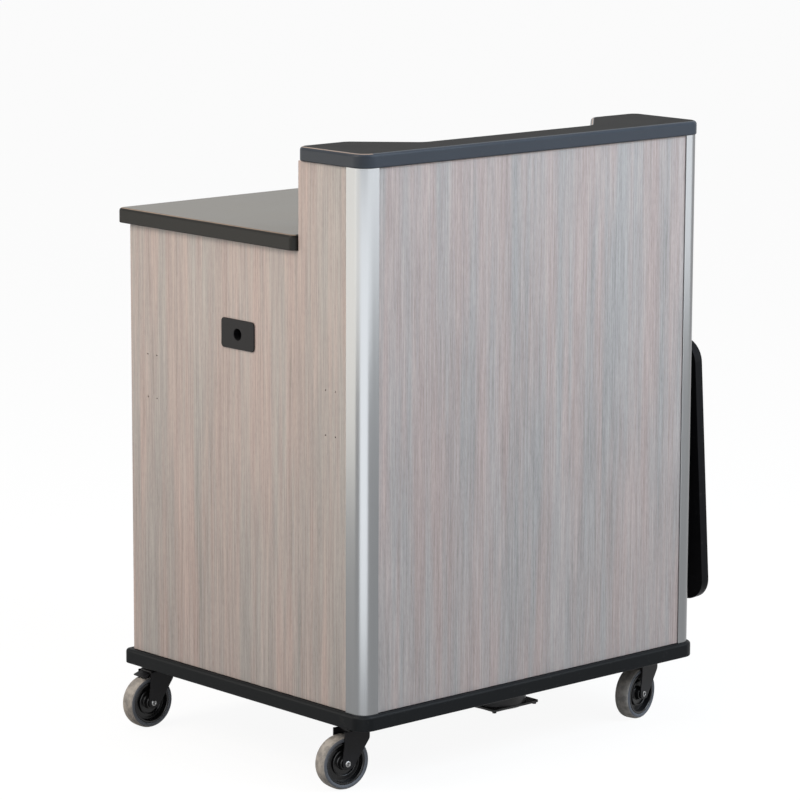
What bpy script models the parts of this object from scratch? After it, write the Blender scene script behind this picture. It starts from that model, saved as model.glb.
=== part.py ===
"""Mobile lectern: cabinet with a raised audience side, a fold-down shelf, a fan and four casters.

Metres, +Z up. The audience panel faces -Y, the doors face +Y, the fold-down shelf hangs on the +X side.
"""
import math

import bmesh
import bpy
from mathutils import Matrix, Vector

# Overall sizes
body_width = 0.860
body_depth = 0.670
body_height = 1.000
board_thickness = 0.019
caster_height = 0.127

# Clearances and workshop allowances
seat_gap = 0.0003
cut_overrun = 0.002
weld_distance = 0.00001
flat_angle = 0.001
board_chamfer = 0.0008
edging_round = 0.006

# Base board
base_thickness = 0.029
base_overhang = 0.010
base_presenter_overhang = 0.020
base_corner_radius = 0.030
base_rear_corner_radius = 0.012

# Corner posts
post_leg = 0.044
post_radius = 0.022
post_proud = 0.003
post_slot_depth = 0.012
post_web = 0.003

# Worktop and the raised audience side
worktop_drop = 0.165
worktop_thickness = 0.029
worktop_side_overhang = 0.012
worktop_presenter_overhang = 0.025
worktop_corner_radius = 0.012
riser_depth = 0.1775
riser_reveal = 0.0015
riser_panel_face = 0.070

# Top cap
cap_thickness = 0.026
cap_overhang = 0.006
cap_rear_overhang = 0.001
cap_front_radius = 0.030
cap_rear_radius = 0.020
cap_fillet = 0.030
cap_wing_length = 0.120
cap_middle_half = 0.215
cap_middle_depth = 0.080

# Cable plate in the left panel
cable_plate_width = 0.094
cable_plate_height = 0.056
cable_plate_radius = 0.007
cable_plate_proud = 0.0025
cable_plate_chamfer = 0.001
cable_plate_depth = 0.348
cable_plate_drop = 0.175
cable_spigot_margin = 0.010
cable_hole_radius = 0.011

# Places for the folding brackets, on both side panels, counted from the shelf's ends
bracket_inset = 0.063
bracket_hole_pitch = 0.027
bracket_row_pitch = 0.083
bracket_drop = 0.2875
pilot_hole_radius = 0.0015
pilot_hole_depth = 0.012

# Inner shelf
inner_shelf_drop = 0.435
inner_shelf_front = 0.060
inner_shelf_setback = 0.040
cleat_height = 0.030
cleat_thickness = 0.019

# Doors and their continuous hinges
door_gap = 0.003
hinge_leaf_thickness = 0.001
hinge_leaf_width = 0.015
hinge_knuckle_radius = 0.003
hinge_bore_radius = 0.0013
hinge_pin_radius = 0.0010
hinge_knuckle_gap = 0.0004
hinge_knuckles = 7

# Door pulls and the cam lock
pull_spacing = 0.096
pull_radius = 0.004
pull_projection = 0.020
pull_bend_radius = 0.010
pull_inset = 0.035
pull_drop = 0.275
lock_inset = 0.035
lock_drop = 0.135
lock_face_radius = 0.0115
lock_face_thickness = 0.002
lock_barrel_radius = 0.0095
lock_barrel_length = 0.026
lock_key_width = 0.0015
lock_key_length = 0.008
lock_key_depth = 0.006
lock_cam_reach = 0.050
lock_cam_width = 0.014
lock_cam_thickness = 0.002
lock_nut_radius = 0.006
lock_nut_thickness = 0.004

# Fold-down shelf
shelf_length = 0.642
shelf_depth = 0.529
shelf_thickness = 0.020
shelf_corner_radius = 0.045
shelf_front = 0.026
shelf_lean = 3.9
shelf_pivot_drop = 0.257
shelf_pivot_offset = 0.018
shelf_pivot_setback = 0.012
shelf_seat_offset = 0.010

# Folding brackets: sheet-metal wall legs, arms and braces
bracket_sheet = 0.002
bracket_plate_width = 0.042
bracket_plate_margin = 0.014
bracket_plate_radius = 0.006
ear_half_spacing = 0.011
ear_round = 0.006
pivot_pin_radius = 0.003
pivot_head_radius = 0.005
pivot_head_thickness = 0.0015
brace_pivot_drop = 0.060
brace_length = 0.170
brace_half_height = 0.006
brace_half_width = 0.007
arm_length = 0.290
arm_wall_drop = 0.006
arm_heel = 0.008
bracket_screw_radius = 0.004
bracket_screw_height = 0.002

# Fan under the base board
fan_size = 0.119
fan_depth = 0.038
fan_corner_radius = 0.006
fan_flange = 0.004
fan_barrel_radius = 0.0583
fan_bore_radius = 0.055
fan_hole_pitch = 0.105
fan_hole_radius = 0.0022
fan_setback = 0.052
fan_motor_radius = 0.030
fan_bore_lip = 0.001
fan_strut_width = 0.007
fan_strut_height = 0.005
fan_struts = 4
fan_hub_radius = 0.029
fan_hub_height = 0.025
fan_shaft_radius = 0.003
fan_blade_tip_radius = 0.0525
fan_blade_root_radius = 0.027
fan_blade_rise = 0.019
fan_blade_sheet = 0.0016
fan_blade_wrap = 40.0
fan_blades = 7
guard_wire_radius = 0.0009
guard_inner_ring = 0.013
guard_outer_ring = 0.052
guard_rings = 4
guard_screw_radius = 0.004
guard_screw_height = 0.0025

# Casters, each with its trail direction in degrees from +X
caster_side_inset = 0.050
caster_front_inset = 0.076
caster_rear_inset = 0.016
caster_turns = {
    "front_left": 171.0,
    "front_right": 191.0,
    "rear_left": 178.0,
    "rear_right": 176.0,
}
wheel_radius = 0.051
wheel_width = 0.032
wheel_trail = 0.030
tyre_depth = 0.010
tyre_shoulder = 0.006
hub_rim = 0.0035
hub_web = 0.006
hub_boss_radius = 0.013
hub_boss_width = 0.034
axle_radius = 0.0045
axle_head_radius = 0.0062
axle_head_thickness = 0.0018
axle_hollow_radius = 0.0030
axle_hollow_depth = 0.004
caster_plate_length = 0.092
caster_plate_width = 0.060
caster_plate_thickness = 0.003
caster_plate_radius = 0.008
caster_bolt_inset = 0.009
caster_bolt_radius = 0.005
caster_bolt_height = 0.0025
race_radius = 0.024
race_drop = 0.006
kingpin_radius = 0.005
kingpin_head_radius = 0.008
kingpin_head_thickness = 0.002
fork_sheet = 0.003
fork_half_spacing = 0.0185
fork_crown_level = 0.109
fork_lead = 0.018
fork_tail = 0.036
fork_boss_radius = 0.011
fork_shoulder_level = 0.094
pedal_pin_radius = 0.002
pedal_pivot_trail = 0.029
pedal_pivot_level = 0.1105
pedal_barrel_radius = 0.0042
pedal_sheet = 0.0025
pedal_reach = 0.022
pedal_slope = 19.0
pedal_width = 0.034
pedal_shoe_width = 0.007
pedal_lifts = {"rear_left": 0.0, "rear_right": 14.0}

# Numbers of steps in round shapes
corner_steps = 5
fork_steps = 2
small_steps = 2
edging_steps = 2
tyre_steps = 24
hub_steps = 14
bore_steps = 18
race_steps = 12
pin_steps = 8
hole_steps = 8
bead_steps = 6
wire_steps = 14
window_steps = 3
pull_steps = 3
blade_steps = 3

# Levels and places that follow from the sizes above
half_width = body_width / 2
base_bottom = caster_height
base_top = base_bottom + base_thickness
panel_bottom = base_top + seat_gap
cap_bottom = base_top + body_height
panel_top = cap_bottom - seat_gap
worktop_bottom = cap_bottom - worktop_drop
worktop_top = worktop_bottom + worktop_thickness
panel_end = post_leg - post_slot_depth + seat_gap
inner_half_width = half_width - board_thickness - seat_gap
hinge_gap = 2 * hinge_leaf_thickness + 3 * seat_gap
bracket_front = shelf_front + bracket_inset
bracket_rear = shelf_front + shelf_length - bracket_inset
fan_centre_depth = fan_setback - base_overhang + fan_size / 2

# Angles in degrees between faces whose edges are rounded or drawn sharp
edging_angle = 40.0
shading_angle = 50.0

# Finishes: colour, roughness, metallic
finishes = {
    "laminate": ((0.42, 0.37, 0.34), 0.55, 0.0),
    "black laminate": ((0.035, 0.035, 0.037), 0.45, 0.0),
    "white laminate": ((0.62, 0.61, 0.59), 0.55, 0.0),
    "aluminium": ((0.72, 0.73, 0.75), 0.32, 1.0),
    "black steel": ((0.02, 0.02, 0.022), 0.4, 0.6),
    "bright steel": ((0.62, 0.62, 0.63), 0.3, 1.0),
    "black plastic": ((0.018, 0.018, 0.02), 0.5, 0.0),
    "grey rubber": ((0.26, 0.26, 0.27), 0.75, 0.0),
}


def new_collection(name):
    """Collection linked to the scene."""
    group = bpy.data.collections.new(name)
    bpy.context.scene.collection.children.link(group)
    return group


def workpiece(mesh):
    """Unfinished object that holds a mesh."""
    ob = bpy.data.objects.new("workpiece", mesh)
    workshop.objects.link(ob)
    return ob


def settled(ob):
    """The object with its modifiers turned into plain mesh."""
    bpy.context.view_layer.update()
    graph = bpy.context.evaluated_depsgraph_get()
    mesh = bpy.data.meshes.new_from_object(ob.evaluated_get(graph))
    mesh.transform(ob.matrix_world)
    bpy.data.objects.remove(ob)
    return workpiece(mesh)


def welded(ob):
    """The object with loose caps joined to their walls and its faces turned outwards."""
    shape = bmesh.new()
    shape.from_mesh(ob.data)
    bmesh.ops.remove_doubles(shape, verts=shape.verts, dist=weld_distance)
    bmesh.ops.recalc_face_normals(shape, faces=shape.faces)
    shape.to_mesh(ob.data)
    shape.free()
    return ob


def cleaned(ob):
    """The object without needless points on straight edges and flat faces."""
    shape = bmesh.new()
    shape.from_mesh(ob.data)
    bmesh.ops.dissolve_limit(shape, angle_limit=flat_angle, verts=shape.verts, edges=shape.edges)
    shape.to_mesh(ob.data)
    shape.free()
    return ob


def moved(ob, matrix):
    """The object with its mesh carried through a matrix."""
    ob.data.transform(matrix)
    return ob


def shifted(ob, x, y, z):
    """The object with its mesh moved."""
    return moved(ob, Matrix.Translation((x, y, z)))


def box(low, high):
    """Box between two corners."""
    shape = bmesh.new()
    bmesh.ops.create_cube(shape, size=1.0)
    size = Vector(high) - Vector(low)
    middle = (Vector(high) + Vector(low)) / 2
    bmesh.ops.scale(shape, vec=size, verts=shape.verts)
    bmesh.ops.translate(shape, vec=middle, verts=shape.verts)
    mesh = bpy.data.meshes.new("box")
    shape.to_mesh(mesh)
    shape.free()
    return workpiece(mesh)


def drum(radius, low, high, steps=pin_steps):
    """Upright cylinder on the Z axis between two levels."""
    shape = bmesh.new()
    bmesh.ops.create_cone(
        shape, cap_ends=True, segments=steps, radius1=radius, radius2=radius, depth=high - low)
    bmesh.ops.translate(shape, vec=(0, 0, (high + low) / 2), verts=shape.verts)
    mesh = bpy.data.meshes.new("drum")
    shape.to_mesh(mesh)
    shape.free()
    return workpiece(mesh)


def reamer(radius, low, high, steps=hole_steps):
    """Cutter for a round hole, upright on the Z axis, whose flats lie at the radius."""
    return drum(radius / math.cos(math.pi / steps), low, high, steps)


def along_x(ob):
    """The object with its Z axis laid along X."""
    return moved(ob, Matrix.Rotation(math.radians(90), 4, "Y"))


def along_y(ob):
    """The object with its Z axis laid along Y."""
    return moved(ob, Matrix.Rotation(math.radians(-90), 4, "X"))


def turned(profile, steps, ring=False):
    """Solid of revolution about Z. The profile of (radius, z) runs down its outer side."""
    mesh = bpy.data.meshes.new("turned")
    count = len(profile)
    links = [(index, index + 1) for index in range(count - 1)]
    if ring:
        links.append((count - 1, 0))
    mesh.from_pydata([(radius, 0, z) for radius, z in profile], links, [])
    ob = workpiece(mesh)
    screw = ob.modifiers.new("turn", "SCREW")
    screw.steps = steps
    screw.render_steps = steps
    screw.use_merge_vertices = True
    screw.merge_threshold = weld_distance
    return welded(settled(ob))


def rounded(corners, steps=corner_steps):
    """Closed outline of (x, y, radius) corners, with each radius turned into an arc."""
    outline = []
    for index, (x, y, radius) in enumerate(corners):
        corner = Vector((x, y))
        if radius == 0:
            outline.append((x, y))
            continue
        back = (Vector(corners[index - 1][:2]) - corner).normalized()
        ahead = (Vector(corners[(index + 1) % len(corners)][:2]) - corner).normalized()
        half = back.angle(ahead) / 2
        centre = corner + (back + ahead).normalized() * radius / math.sin(half)
        start = corner + back * radius / math.tan(half) - centre
        side = 1 if back.x * ahead.y - back.y * ahead.x < 0 else -1
        sweep = side * (math.pi - 2 * half)
        for step in range(steps + 1):
            turn = sweep * step / steps
            across = start.x * math.cos(turn) - start.y * math.sin(turn)
            up = start.x * math.sin(turn) + start.y * math.cos(turn)
            outline.append((centre.x + across, centre.y + up))
    return outline


def circle(radius, x=0, y=0, steps=hole_steps):
    """Points of a circle."""
    turns = [2 * math.pi * step / steps for step in range(steps)]
    return [(x + radius * math.cos(turn), y + radius * math.sin(turn)) for turn in turns]


def rectangle(low_x, low_y, high_x, high_y, radius=0):
    """Corners of a rectangle with one radius."""
    corners = [(low_x, low_y), (high_x, low_y), (high_x, high_y), (low_x, high_y)]
    return [(x, y, radius) for x, y in corners]


def stadium(low_x, high_x, radius, steps=corner_steps):
    """Outline of a straight bar with round ends centred on two points of the X axis."""
    outline = []
    for centre, start in ((high_x, -math.pi / 2), (low_x, math.pi / 2)):
        for step in range(steps + 1):
            turn = start + math.pi * step / steps
            outline.append((centre + radius * math.cos(turn), radius * math.sin(turn)))
    return outline


def plate(loops, low, high, plane="XY"):
    """Flat board with holes, cut from outlines and standing between two levels of its own normal."""
    curve = bpy.data.curves.new("outline", "CURVE")
    curve.dimensions = "2D"
    curve.fill_mode = "BOTH"
    curve.extrude = (high - low) / 2
    for loop in loops:
        spline = curve.splines.new("POLY")
        spline.points.add(len(loop) - 1)
        spline.use_cyclic_u = True
        for point, (x, y) in zip(spline.points, loop):
            point.co = (x, y, 0, 1)
    ob = bpy.data.objects.new("outline", curve)
    workshop.objects.link(ob)
    ob = welded(settled(ob))
    shifted(ob, 0, 0, (high + low) / 2)
    if plane == "YZ":
        moved(ob, Matrix(((0, 0, 1, 0), (1, 0, 0, 0), (0, 1, 0, 0), (0, 0, 0, 1))))
    if plane == "XZ":
        moved(ob, Matrix(((1, 0, 0, 0), (0, 0, -1, 0), (0, 1, 0, 0), (0, 0, 0, 1))))
    return ob


def rod(route, radius, ring=False, resolution=2):
    """Round bar along a route."""
    curve = bpy.data.curves.new("rod", "CURVE")
    curve.dimensions = "3D"
    curve.bevel_depth = radius
    curve.bevel_resolution = resolution
    curve.use_fill_caps = True
    spline = curve.splines.new("POLY")
    spline.points.add(len(route) - 1)
    spline.use_cyclic_u = ring
    for point, place in zip(spline.points, route):
        point.co = (*place, 1)
    ob = bpy.data.objects.new("rod", curve)
    workshop.objects.link(ob)
    return welded(settled(ob))


def combined(target, tools, operation):
    """The target joined with the tools, or cut by them."""
    for tool in tools:
        step = target.modifiers.new("combine", "BOOLEAN")
        step.operation = operation
        step.solver = "EXACT"
        step.object = tool
    result = settled(target)
    for tool in tools:
        bpy.data.objects.remove(tool)
    return cleaned(result)


def joined(target, *tools):
    """Union of the pieces."""
    return combined(target, tools, "UNION")


def cut(target, *tools):
    """The target with the tools taken away."""
    return combined(target, tools, "DIFFERENCE")


def softened(ob, width, steps):
    """The object with its sharp edges rounded."""
    bevel = ob.modifiers.new("soften", "BEVEL")
    bevel.width = width
    bevel.segments = steps
    bevel.limit_method = "ANGLE"
    bevel.angle_limit = math.radians(edging_angle)
    return settled(ob)


def mirrored(ob):
    """The object's mirror image over the middle plane of the body."""
    moved(ob, Matrix.Scale(-1, 4, (1, 0, 0)))
    ob.data.flip_normals()
    return ob


def copied(ob):
    """Second object on a copy of the mesh."""
    return workpiece(ob.data.copy())


def finished(ob, name, finish, parent, location=(0, 0, 0)):
    """Names a piece, gives it its own material and hangs it on its parent."""
    workshop.objects.unlink(ob)
    pieces.objects.link(ob)
    ob.name = name
    ob.data.name = name
    ob.parent = parent
    ob.location = location
    colour, roughness, metallic = finishes[finish]
    material = bpy.data.materials.new(name)
    material.use_nodes = True
    surface = material.node_tree.nodes["Principled BSDF"]
    surface.inputs["Base Color"].default_value = (*colour, 1)
    surface.inputs["Roughness"].default_value = roughness
    surface.inputs["Metallic"].default_value = metallic
    ob.data.materials.clear()
    ob.data.materials.append(material)
    ob.data.shade_smooth()
    ob.data.set_sharp_from_angle(angle=math.radians(shading_angle))
    return ob


def pivot(name, parent, location, rotation=(0, 0, 0)):
    """Empty on a joint axis."""
    ob = bpy.data.objects.new(name, None)
    bpy.context.scene.collection.objects.link(ob)
    ob.parent = parent
    ob.location = location
    ob.rotation_euler = rotation
    return ob


def build_base(cabinet):
    """Base board with the fan's air hole."""
    edge, rear = half_width + base_overhang, body_depth + base_presenter_overhang
    outline = rounded([
        (-edge, -base_overhang, base_corner_radius), (edge, -base_overhang, base_corner_radius),
        (edge, rear, base_rear_corner_radius), (-edge, rear, base_rear_corner_radius)])
    board = softened(plate([outline], base_bottom, base_top), edging_round, edging_steps)
    hole = reamer(fan_bore_radius, base_bottom - cut_overrun, base_top + cut_overrun, bore_steps)
    board = cut(board, shifted(hole, 0, fan_centre_depth, 0))
    finished(board, "base_board", "black laminate", cabinet)


def side_outline():
    """Side panel in Y and Z: a low part under the worktop and a tall part beside the audience panel."""
    worktop_seat = worktop_bottom - seat_gap
    return [
        (panel_end, panel_bottom), (body_depth, panel_bottom), (body_depth, worktop_seat),
        (riser_depth, worktop_seat), (riser_depth, panel_top), (panel_end, panel_top),
    ]


def bracket_rows():
    """Levels of the lower and the upper screws of a bracket."""
    middle = worktop_bottom - bracket_drop
    return middle - bracket_row_pitch / 2, middle + bracket_row_pitch / 2


def pilot_holes():
    """Cutters for the left panel's eight pilot holes."""
    holes = []
    for middle in (bracket_front, bracket_rear):
        for side in (-1, 1):
            for row in bracket_rows():
                hole = along_x(reamer(pilot_hole_radius, -pilot_hole_depth, pilot_hole_depth, bead_steps))
                depth = middle + side * bracket_hole_pitch / 2
                holes.append(shifted(hole, -half_width, depth, row))
    return holes


def build_side_panels(cabinet):
    """Left panel with its cable cut-out and pilot holes, and the plain right panel."""
    left = plate([side_outline()], -half_width, -half_width + board_thickness, "YZ")
    right = mirrored(copied(left))
    left = softened(left, board_chamfer, 1)
    right = softened(right, board_chamfer, 1)
    opening = box(
        (-half_width - cut_overrun, *cable_spigot(-1, -seat_gap)),
        (-half_width + board_thickness + cut_overrun, *cable_spigot(1, -seat_gap)))
    left = cut(left, opening, *pilot_holes())
    finished(left, "side_panel_left", "laminate", cabinet)
    finished(right, "side_panel_right", "laminate", cabinet)


def cable_spigot(side, inset):
    """Corner of the cable plate's spigot in Y and Z, drawn in by a small inset."""
    reach = cable_spigot_margin + inset
    return (
        cable_plate_depth + side * (cable_plate_width / 2 - reach),
        worktop_bottom - cable_plate_drop + side * (cable_plate_height / 2 - reach),
    )


def build_cable_plate(cabinet):
    """Rectangular plate with a round cable hole, its spigot set in the left panel."""
    back = -half_width - seat_gap
    level = worktop_bottom - cable_plate_drop
    half_plate_width, half_plate_height = cable_plate_width / 2, cable_plate_height / 2
    outline = rounded(rectangle(
        cable_plate_depth - half_plate_width, level - half_plate_height,
        cable_plate_depth + half_plate_width, level + half_plate_height, cable_plate_radius), small_steps)
    flange = softened(plate([outline], back - cable_plate_proud, back, "YZ"), cable_plate_chamfer, 1)
    spigot = box(
        (back - cable_plate_proud / 2, *cable_spigot(-1, 0)),
        (-half_width + board_thickness, *cable_spigot(1, 0)))
    reach = board_thickness + cut_overrun
    bore = along_x(reamer(cable_hole_radius, -reach, reach, bore_steps))
    shifted(bore, -half_width, cable_plate_depth, level)
    finished(cut(joined(flange, spigot), bore), "cable_plate", "black plastic", cabinet)


def build_front_panel(cabinet):
    """Audience panel between the corner posts."""
    reach = half_width - panel_end
    panel = softened(box((-reach, 0, panel_bottom), (reach, board_thickness, panel_top)), board_chamfer, 1)
    finished(panel, "front_panel", "laminate", cabinet)


def post_section():
    """Section of a corner post, symmetric over the corner's diagonal, with a slot for each panel."""
    slot_floor = post_leg - post_slot_depth
    slot_wall = board_thickness + seat_gap
    hollow = post_web - post_proud
    lip = [
        (-post_proud, post_leg), (-seat_gap, post_leg), (-seat_gap, slot_floor), (slot_wall, slot_floor),
        (slot_wall, post_leg), (slot_wall + post_web, post_leg),
        (slot_wall + post_web, slot_floor - post_web), (hollow, slot_floor - post_web),
    ]
    inner, outer = [], []
    for step in range(corner_steps + 1):
        turn = math.pi + math.pi / 2 * step / corner_steps
        for side, reach in ((inner, post_radius - hollow), (outer, post_radius + post_proud)):
            side.append((post_radius + reach * math.cos(turn), post_radius + reach * math.sin(turn)))
    return lip + inner + [(y, x) for x, y in reversed(lip)] + outer[::-1]


def build_posts(cabinet):
    """Rounded corner extrusions at the two audience corners."""
    section = [(x - half_width, y) for x, y in post_section()]
    left = plate([section], panel_bottom, panel_top)
    right = mirrored(copied(left))
    finished(left, "corner_post_left", "aluminium", cabinet)
    finished(right, "corner_post_right", "aluminium", cabinet)


def build_worktop(cabinet):
    """Worktop with a tongue that reaches the audience panel between the tall side parts."""
    edge = half_width + worktop_side_overhang
    rear = body_depth + worktop_presenter_overhang
    step = riser_depth + riser_reveal
    front = board_thickness + seat_gap
    post_end = post_leg + seat_gap
    half = [
        (half_width - post_end, front, 0), (half_width - post_end, post_end, 0),
        (inner_half_width, post_end, 0), (inner_half_width, step, 0),
        (edge, step, worktop_corner_radius), (edge, rear, worktop_corner_radius),
    ]
    outline = rounded(half + [(-x, y, radius) for x, y, radius in reversed(half)])
    board = softened(plate([outline], worktop_bottom, worktop_top), edging_round, edging_steps)
    finished(board, "worktop", "black laminate", cabinet)


def build_riser_panel(cabinet):
    """Panel that closes the raised part towards the presenter."""
    panel = box(
        (-inner_half_width, riser_panel_face - board_thickness, worktop_top + seat_gap),
        (inner_half_width, riser_panel_face, panel_top))
    finished(softened(panel, board_chamfer, 1), "riser_panel", "laminate", cabinet)


def build_cap(cabinet):
    """Top cap with two wings and a slanted cut-out towards the presenter."""
    edge = half_width + cap_overhang
    wing = riser_depth + cap_rear_overhang
    half = [
        (edge, -cap_overhang, cap_front_radius), (edge, wing, cap_rear_radius),
        (edge - cap_wing_length, wing, cap_fillet), (cap_middle_half, cap_middle_depth, cap_fillet),
    ]
    outline = rounded(half + [(-x, y, radius) for x, y, radius in reversed(half)])
    board = softened(plate([outline], cap_bottom, cap_bottom + cap_thickness), edging_round, edging_steps)
    finished(board, "top_cap", "black laminate", cabinet)


def build_inner_shelf(cabinet):
    """Inner shelf on two cleats."""
    rear = body_depth - board_thickness - inner_shelf_setback
    low = worktop_bottom - inner_shelf_drop
    high = low + board_thickness
    shelf = box((-inner_half_width, inner_shelf_front, low), (inner_half_width, rear, high))
    finished(softened(shelf, board_chamfer, 1), "inner_shelf", "white laminate", cabinet)
    top = low - seat_gap
    cleat = box(
        (-inner_half_width, inner_shelf_front, top - cleat_height),
        (-inner_half_width + cleat_thickness, rear, top))
    cleat = softened(cleat, board_chamfer, 1)
    finished(mirrored(copied(cleat)), "shelf_cleat_right", "white laminate", cabinet)
    finished(cleat, "shelf_cleat_left", "white laminate", cabinet)


def knuckle_spans(parity):
    """Start and end of every second knuckle along a door's height."""
    low = base_top + door_gap
    pitch = (worktop_bottom - door_gap - low) / hinge_knuckles
    return [
        (low + index * pitch + hinge_knuckle_gap / 2, low + (index + 1) * pitch - hinge_knuckle_gap / 2)
        for index in range(parity, hinge_knuckles, 2)
    ]


def hinge_leaf(parity, side):
    """Comb-shaped leaf with its rolled knuckles, about the hinge axis."""
    reach = hinge_knuckle_radius + seat_gap
    root = -reach - seat_gap
    tip = -(hinge_bore_radius + hinge_knuckle_radius) / 2
    far = -reach - hinge_leaf_width
    comb = [(far, base_top + door_gap), (root, base_top + door_gap)]
    for low, high in knuckle_spans(parity):
        comb += [(root, low), (tip, low), (tip, high), (root, high)]
    comb += [(root, worktop_bottom - door_gap), (far, worktop_bottom - door_gap)]
    comb = [point for index, point in enumerate(comb) if point != comb[index - 1]]
    face = side * (hinge_gap / 2 - seat_gap)
    low, high = sorted((face, face - side * hinge_leaf_thickness))
    leaf = plate([comb], low, high, "YZ")
    knuckles = [drum(hinge_knuckle_radius, *span, bead_steps) for span in knuckle_spans(parity)]
    bore = reamer(hinge_bore_radius, base_bottom, worktop_top, bead_steps)
    return cut(joined(leaf, *knuckles), bore)


def build_doors(cabinet):
    """Two inset doors on continuous hinges."""
    low, high = base_top + door_gap, worktop_bottom - door_gap
    axis_inset = half_width - board_thickness - hinge_gap / 2
    axis_depth = body_depth + hinge_knuckle_radius + seat_gap
    width = axis_inset - hinge_gap / 2 - door_gap / 2
    front = body_depth - axis_depth
    rear = front - board_thickness
    for name, side in (("left", -1), ("right", 1)):
        place = (side * axis_inset, axis_depth, 0)
        axle = pivot(f"door_{name}_axis", cabinet, place)
        near, far = sorted((-side * hinge_gap / 2, -side * (hinge_gap / 2 + width)))
        door = softened(box((near, rear, low), (far, front, high)), board_chamfer, 1)
        if side == 1:
            hole = cross_hole(lock_barrel_radius + seat_gap, board_thickness + cut_overrun, hub_steps)
            door = cut(door, shifted(hole, lock_inset - axis_inset, front, worktop_bottom - lock_drop))
        finished(door, f"door_{name}", "laminate", axle)
        finished(hinge_leaf(1, -side), f"hinge_{name}_door_leaf", "bright steel", axle)
        finished(hinge_leaf(0, side), f"hinge_{name}_cabinet_leaf", "bright steel", cabinet, place)
        pin = drum(hinge_pin_radius, low, high, bead_steps)
        finished(pin, f"hinge_{name}_pin", "bright steel", cabinet, place)
        grip = (side * (pull_inset - axis_inset), front, worktop_bottom - pull_drop)
        finished(door_pull(), f"door_pull_{name}", "black steel", axle, grip)
        if side == 1:
            build_lock(axle, (lock_inset - axis_inset, front, worktop_bottom - lock_drop))


def door_pull():
    """Upright bar handle bent from round rod, its feet on the door's face."""
    reach = pull_projection - pull_radius
    half = pull_spacing / 2
    bends = [(reach, -half, pull_bend_radius), (reach, half, pull_bend_radius)]
    route = rounded([(seat_gap, -half, 0), *bends, (seat_gap, half, 0)], pull_steps)
    return rod([(0, out, up) for out, up in route], pull_radius)


def build_lock(axle, place):
    """Cam lock in the right door, its cam pointing down while unlocked."""
    face = seat_gap + lock_face_thickness
    back = -lock_barrel_length
    barrel = turned([
        (0, face), (lock_face_radius, face), (lock_face_radius, seat_gap), (lock_barrel_radius, seat_gap),
        (lock_barrel_radius, back), (0, back)], hub_steps)
    key = box(
        (-lock_key_width / 2, -lock_key_length / 2, face - lock_key_depth),
        (lock_key_width / 2, lock_key_length / 2, face + cut_overrun))
    barrel = along_y(cut(barrel, key))
    finished(barrel, "lock_barrel", "bright steel", axle, place)
    cam = stadium(0, lock_cam_reach - lock_cam_width / 2, lock_cam_width / 2)
    cam = plate([cam], 0, lock_cam_thickness, "XZ")
    nut_end = -lock_cam_thickness - lock_nut_thickness
    nut = along_y(drum(lock_nut_radius, nut_end, -lock_cam_thickness / 2, bead_steps))
    cam = moved(joined(cam, nut), Matrix.Rotation(math.radians(90), 4, "Y"))
    turn = pivot("lock_axis", axle, place)
    finished(cam, "lock_cam", "bright steel", turn, (0, back - seat_gap, 0))


def build_fold_shelf(cabinet):
    """Fold-down shelf with two folding brackets, hanging beside the right panel."""
    level = worktop_bottom - shelf_pivot_drop
    hinge_x = half_width + shelf_pivot_offset
    fold = pivot("fold_shelf_axis", cabinet, (hinge_x, 0, level), (0, math.radians(90 - shelf_lean), 0))
    outline = rounded(rectangle(
        -shelf_pivot_setback, shelf_front,
        shelf_depth - shelf_pivot_setback, shelf_front + shelf_length, shelf_corner_radius))
    board = plate([outline], shelf_seat_offset, shelf_seat_offset + shelf_thickness)
    board = softened(board, edging_round, edging_steps)
    finished(board, "fold_shelf", "black laminate", fold)
    lag = math.asin(brace_pivot_drop * math.sin(math.radians(shelf_lean)) / brace_length)
    tilt = math.radians(90 - shelf_lean) - lag
    for name, depth in (("front", bracket_front), ("rear", bracket_rear)):
        finished(bracket_leg(), f"bracket_leg_{name}", "black steel", cabinet, (half_width, depth, 0))
        finished(bracket_arm(), f"bracket_arm_{name}", "black steel", fold, (0, depth, 0))
        root = (hinge_x, depth, level - brace_pivot_drop)
        swing = pivot(f"brace_{name}_axis", cabinet, root, (0, tilt, 0))
        finished(bracket_brace(), f"bracket_brace_{name}", "black steel", swing)


def cross_hole(radius, half_length, steps=hole_steps):
    """Cutter for a round hole along Y."""
    return along_y(reamer(radius, -half_length, half_length, steps))


def cross_pin(radius, half_length, head_radius=0, head=0):
    """Pin along Y, with heads if they have a size."""
    end = half_length + head
    if head == 0:
        return along_y(drum(radius, -end, end, hole_steps))
    profile = [
        (0, end), (head_radius, end), (head_radius, half_length), (radius, half_length),
        (radius, -half_length), (head_radius, -half_length), (head_radius, -end), (0, -end)]
    return along_y(turned(profile, hole_steps))


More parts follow.
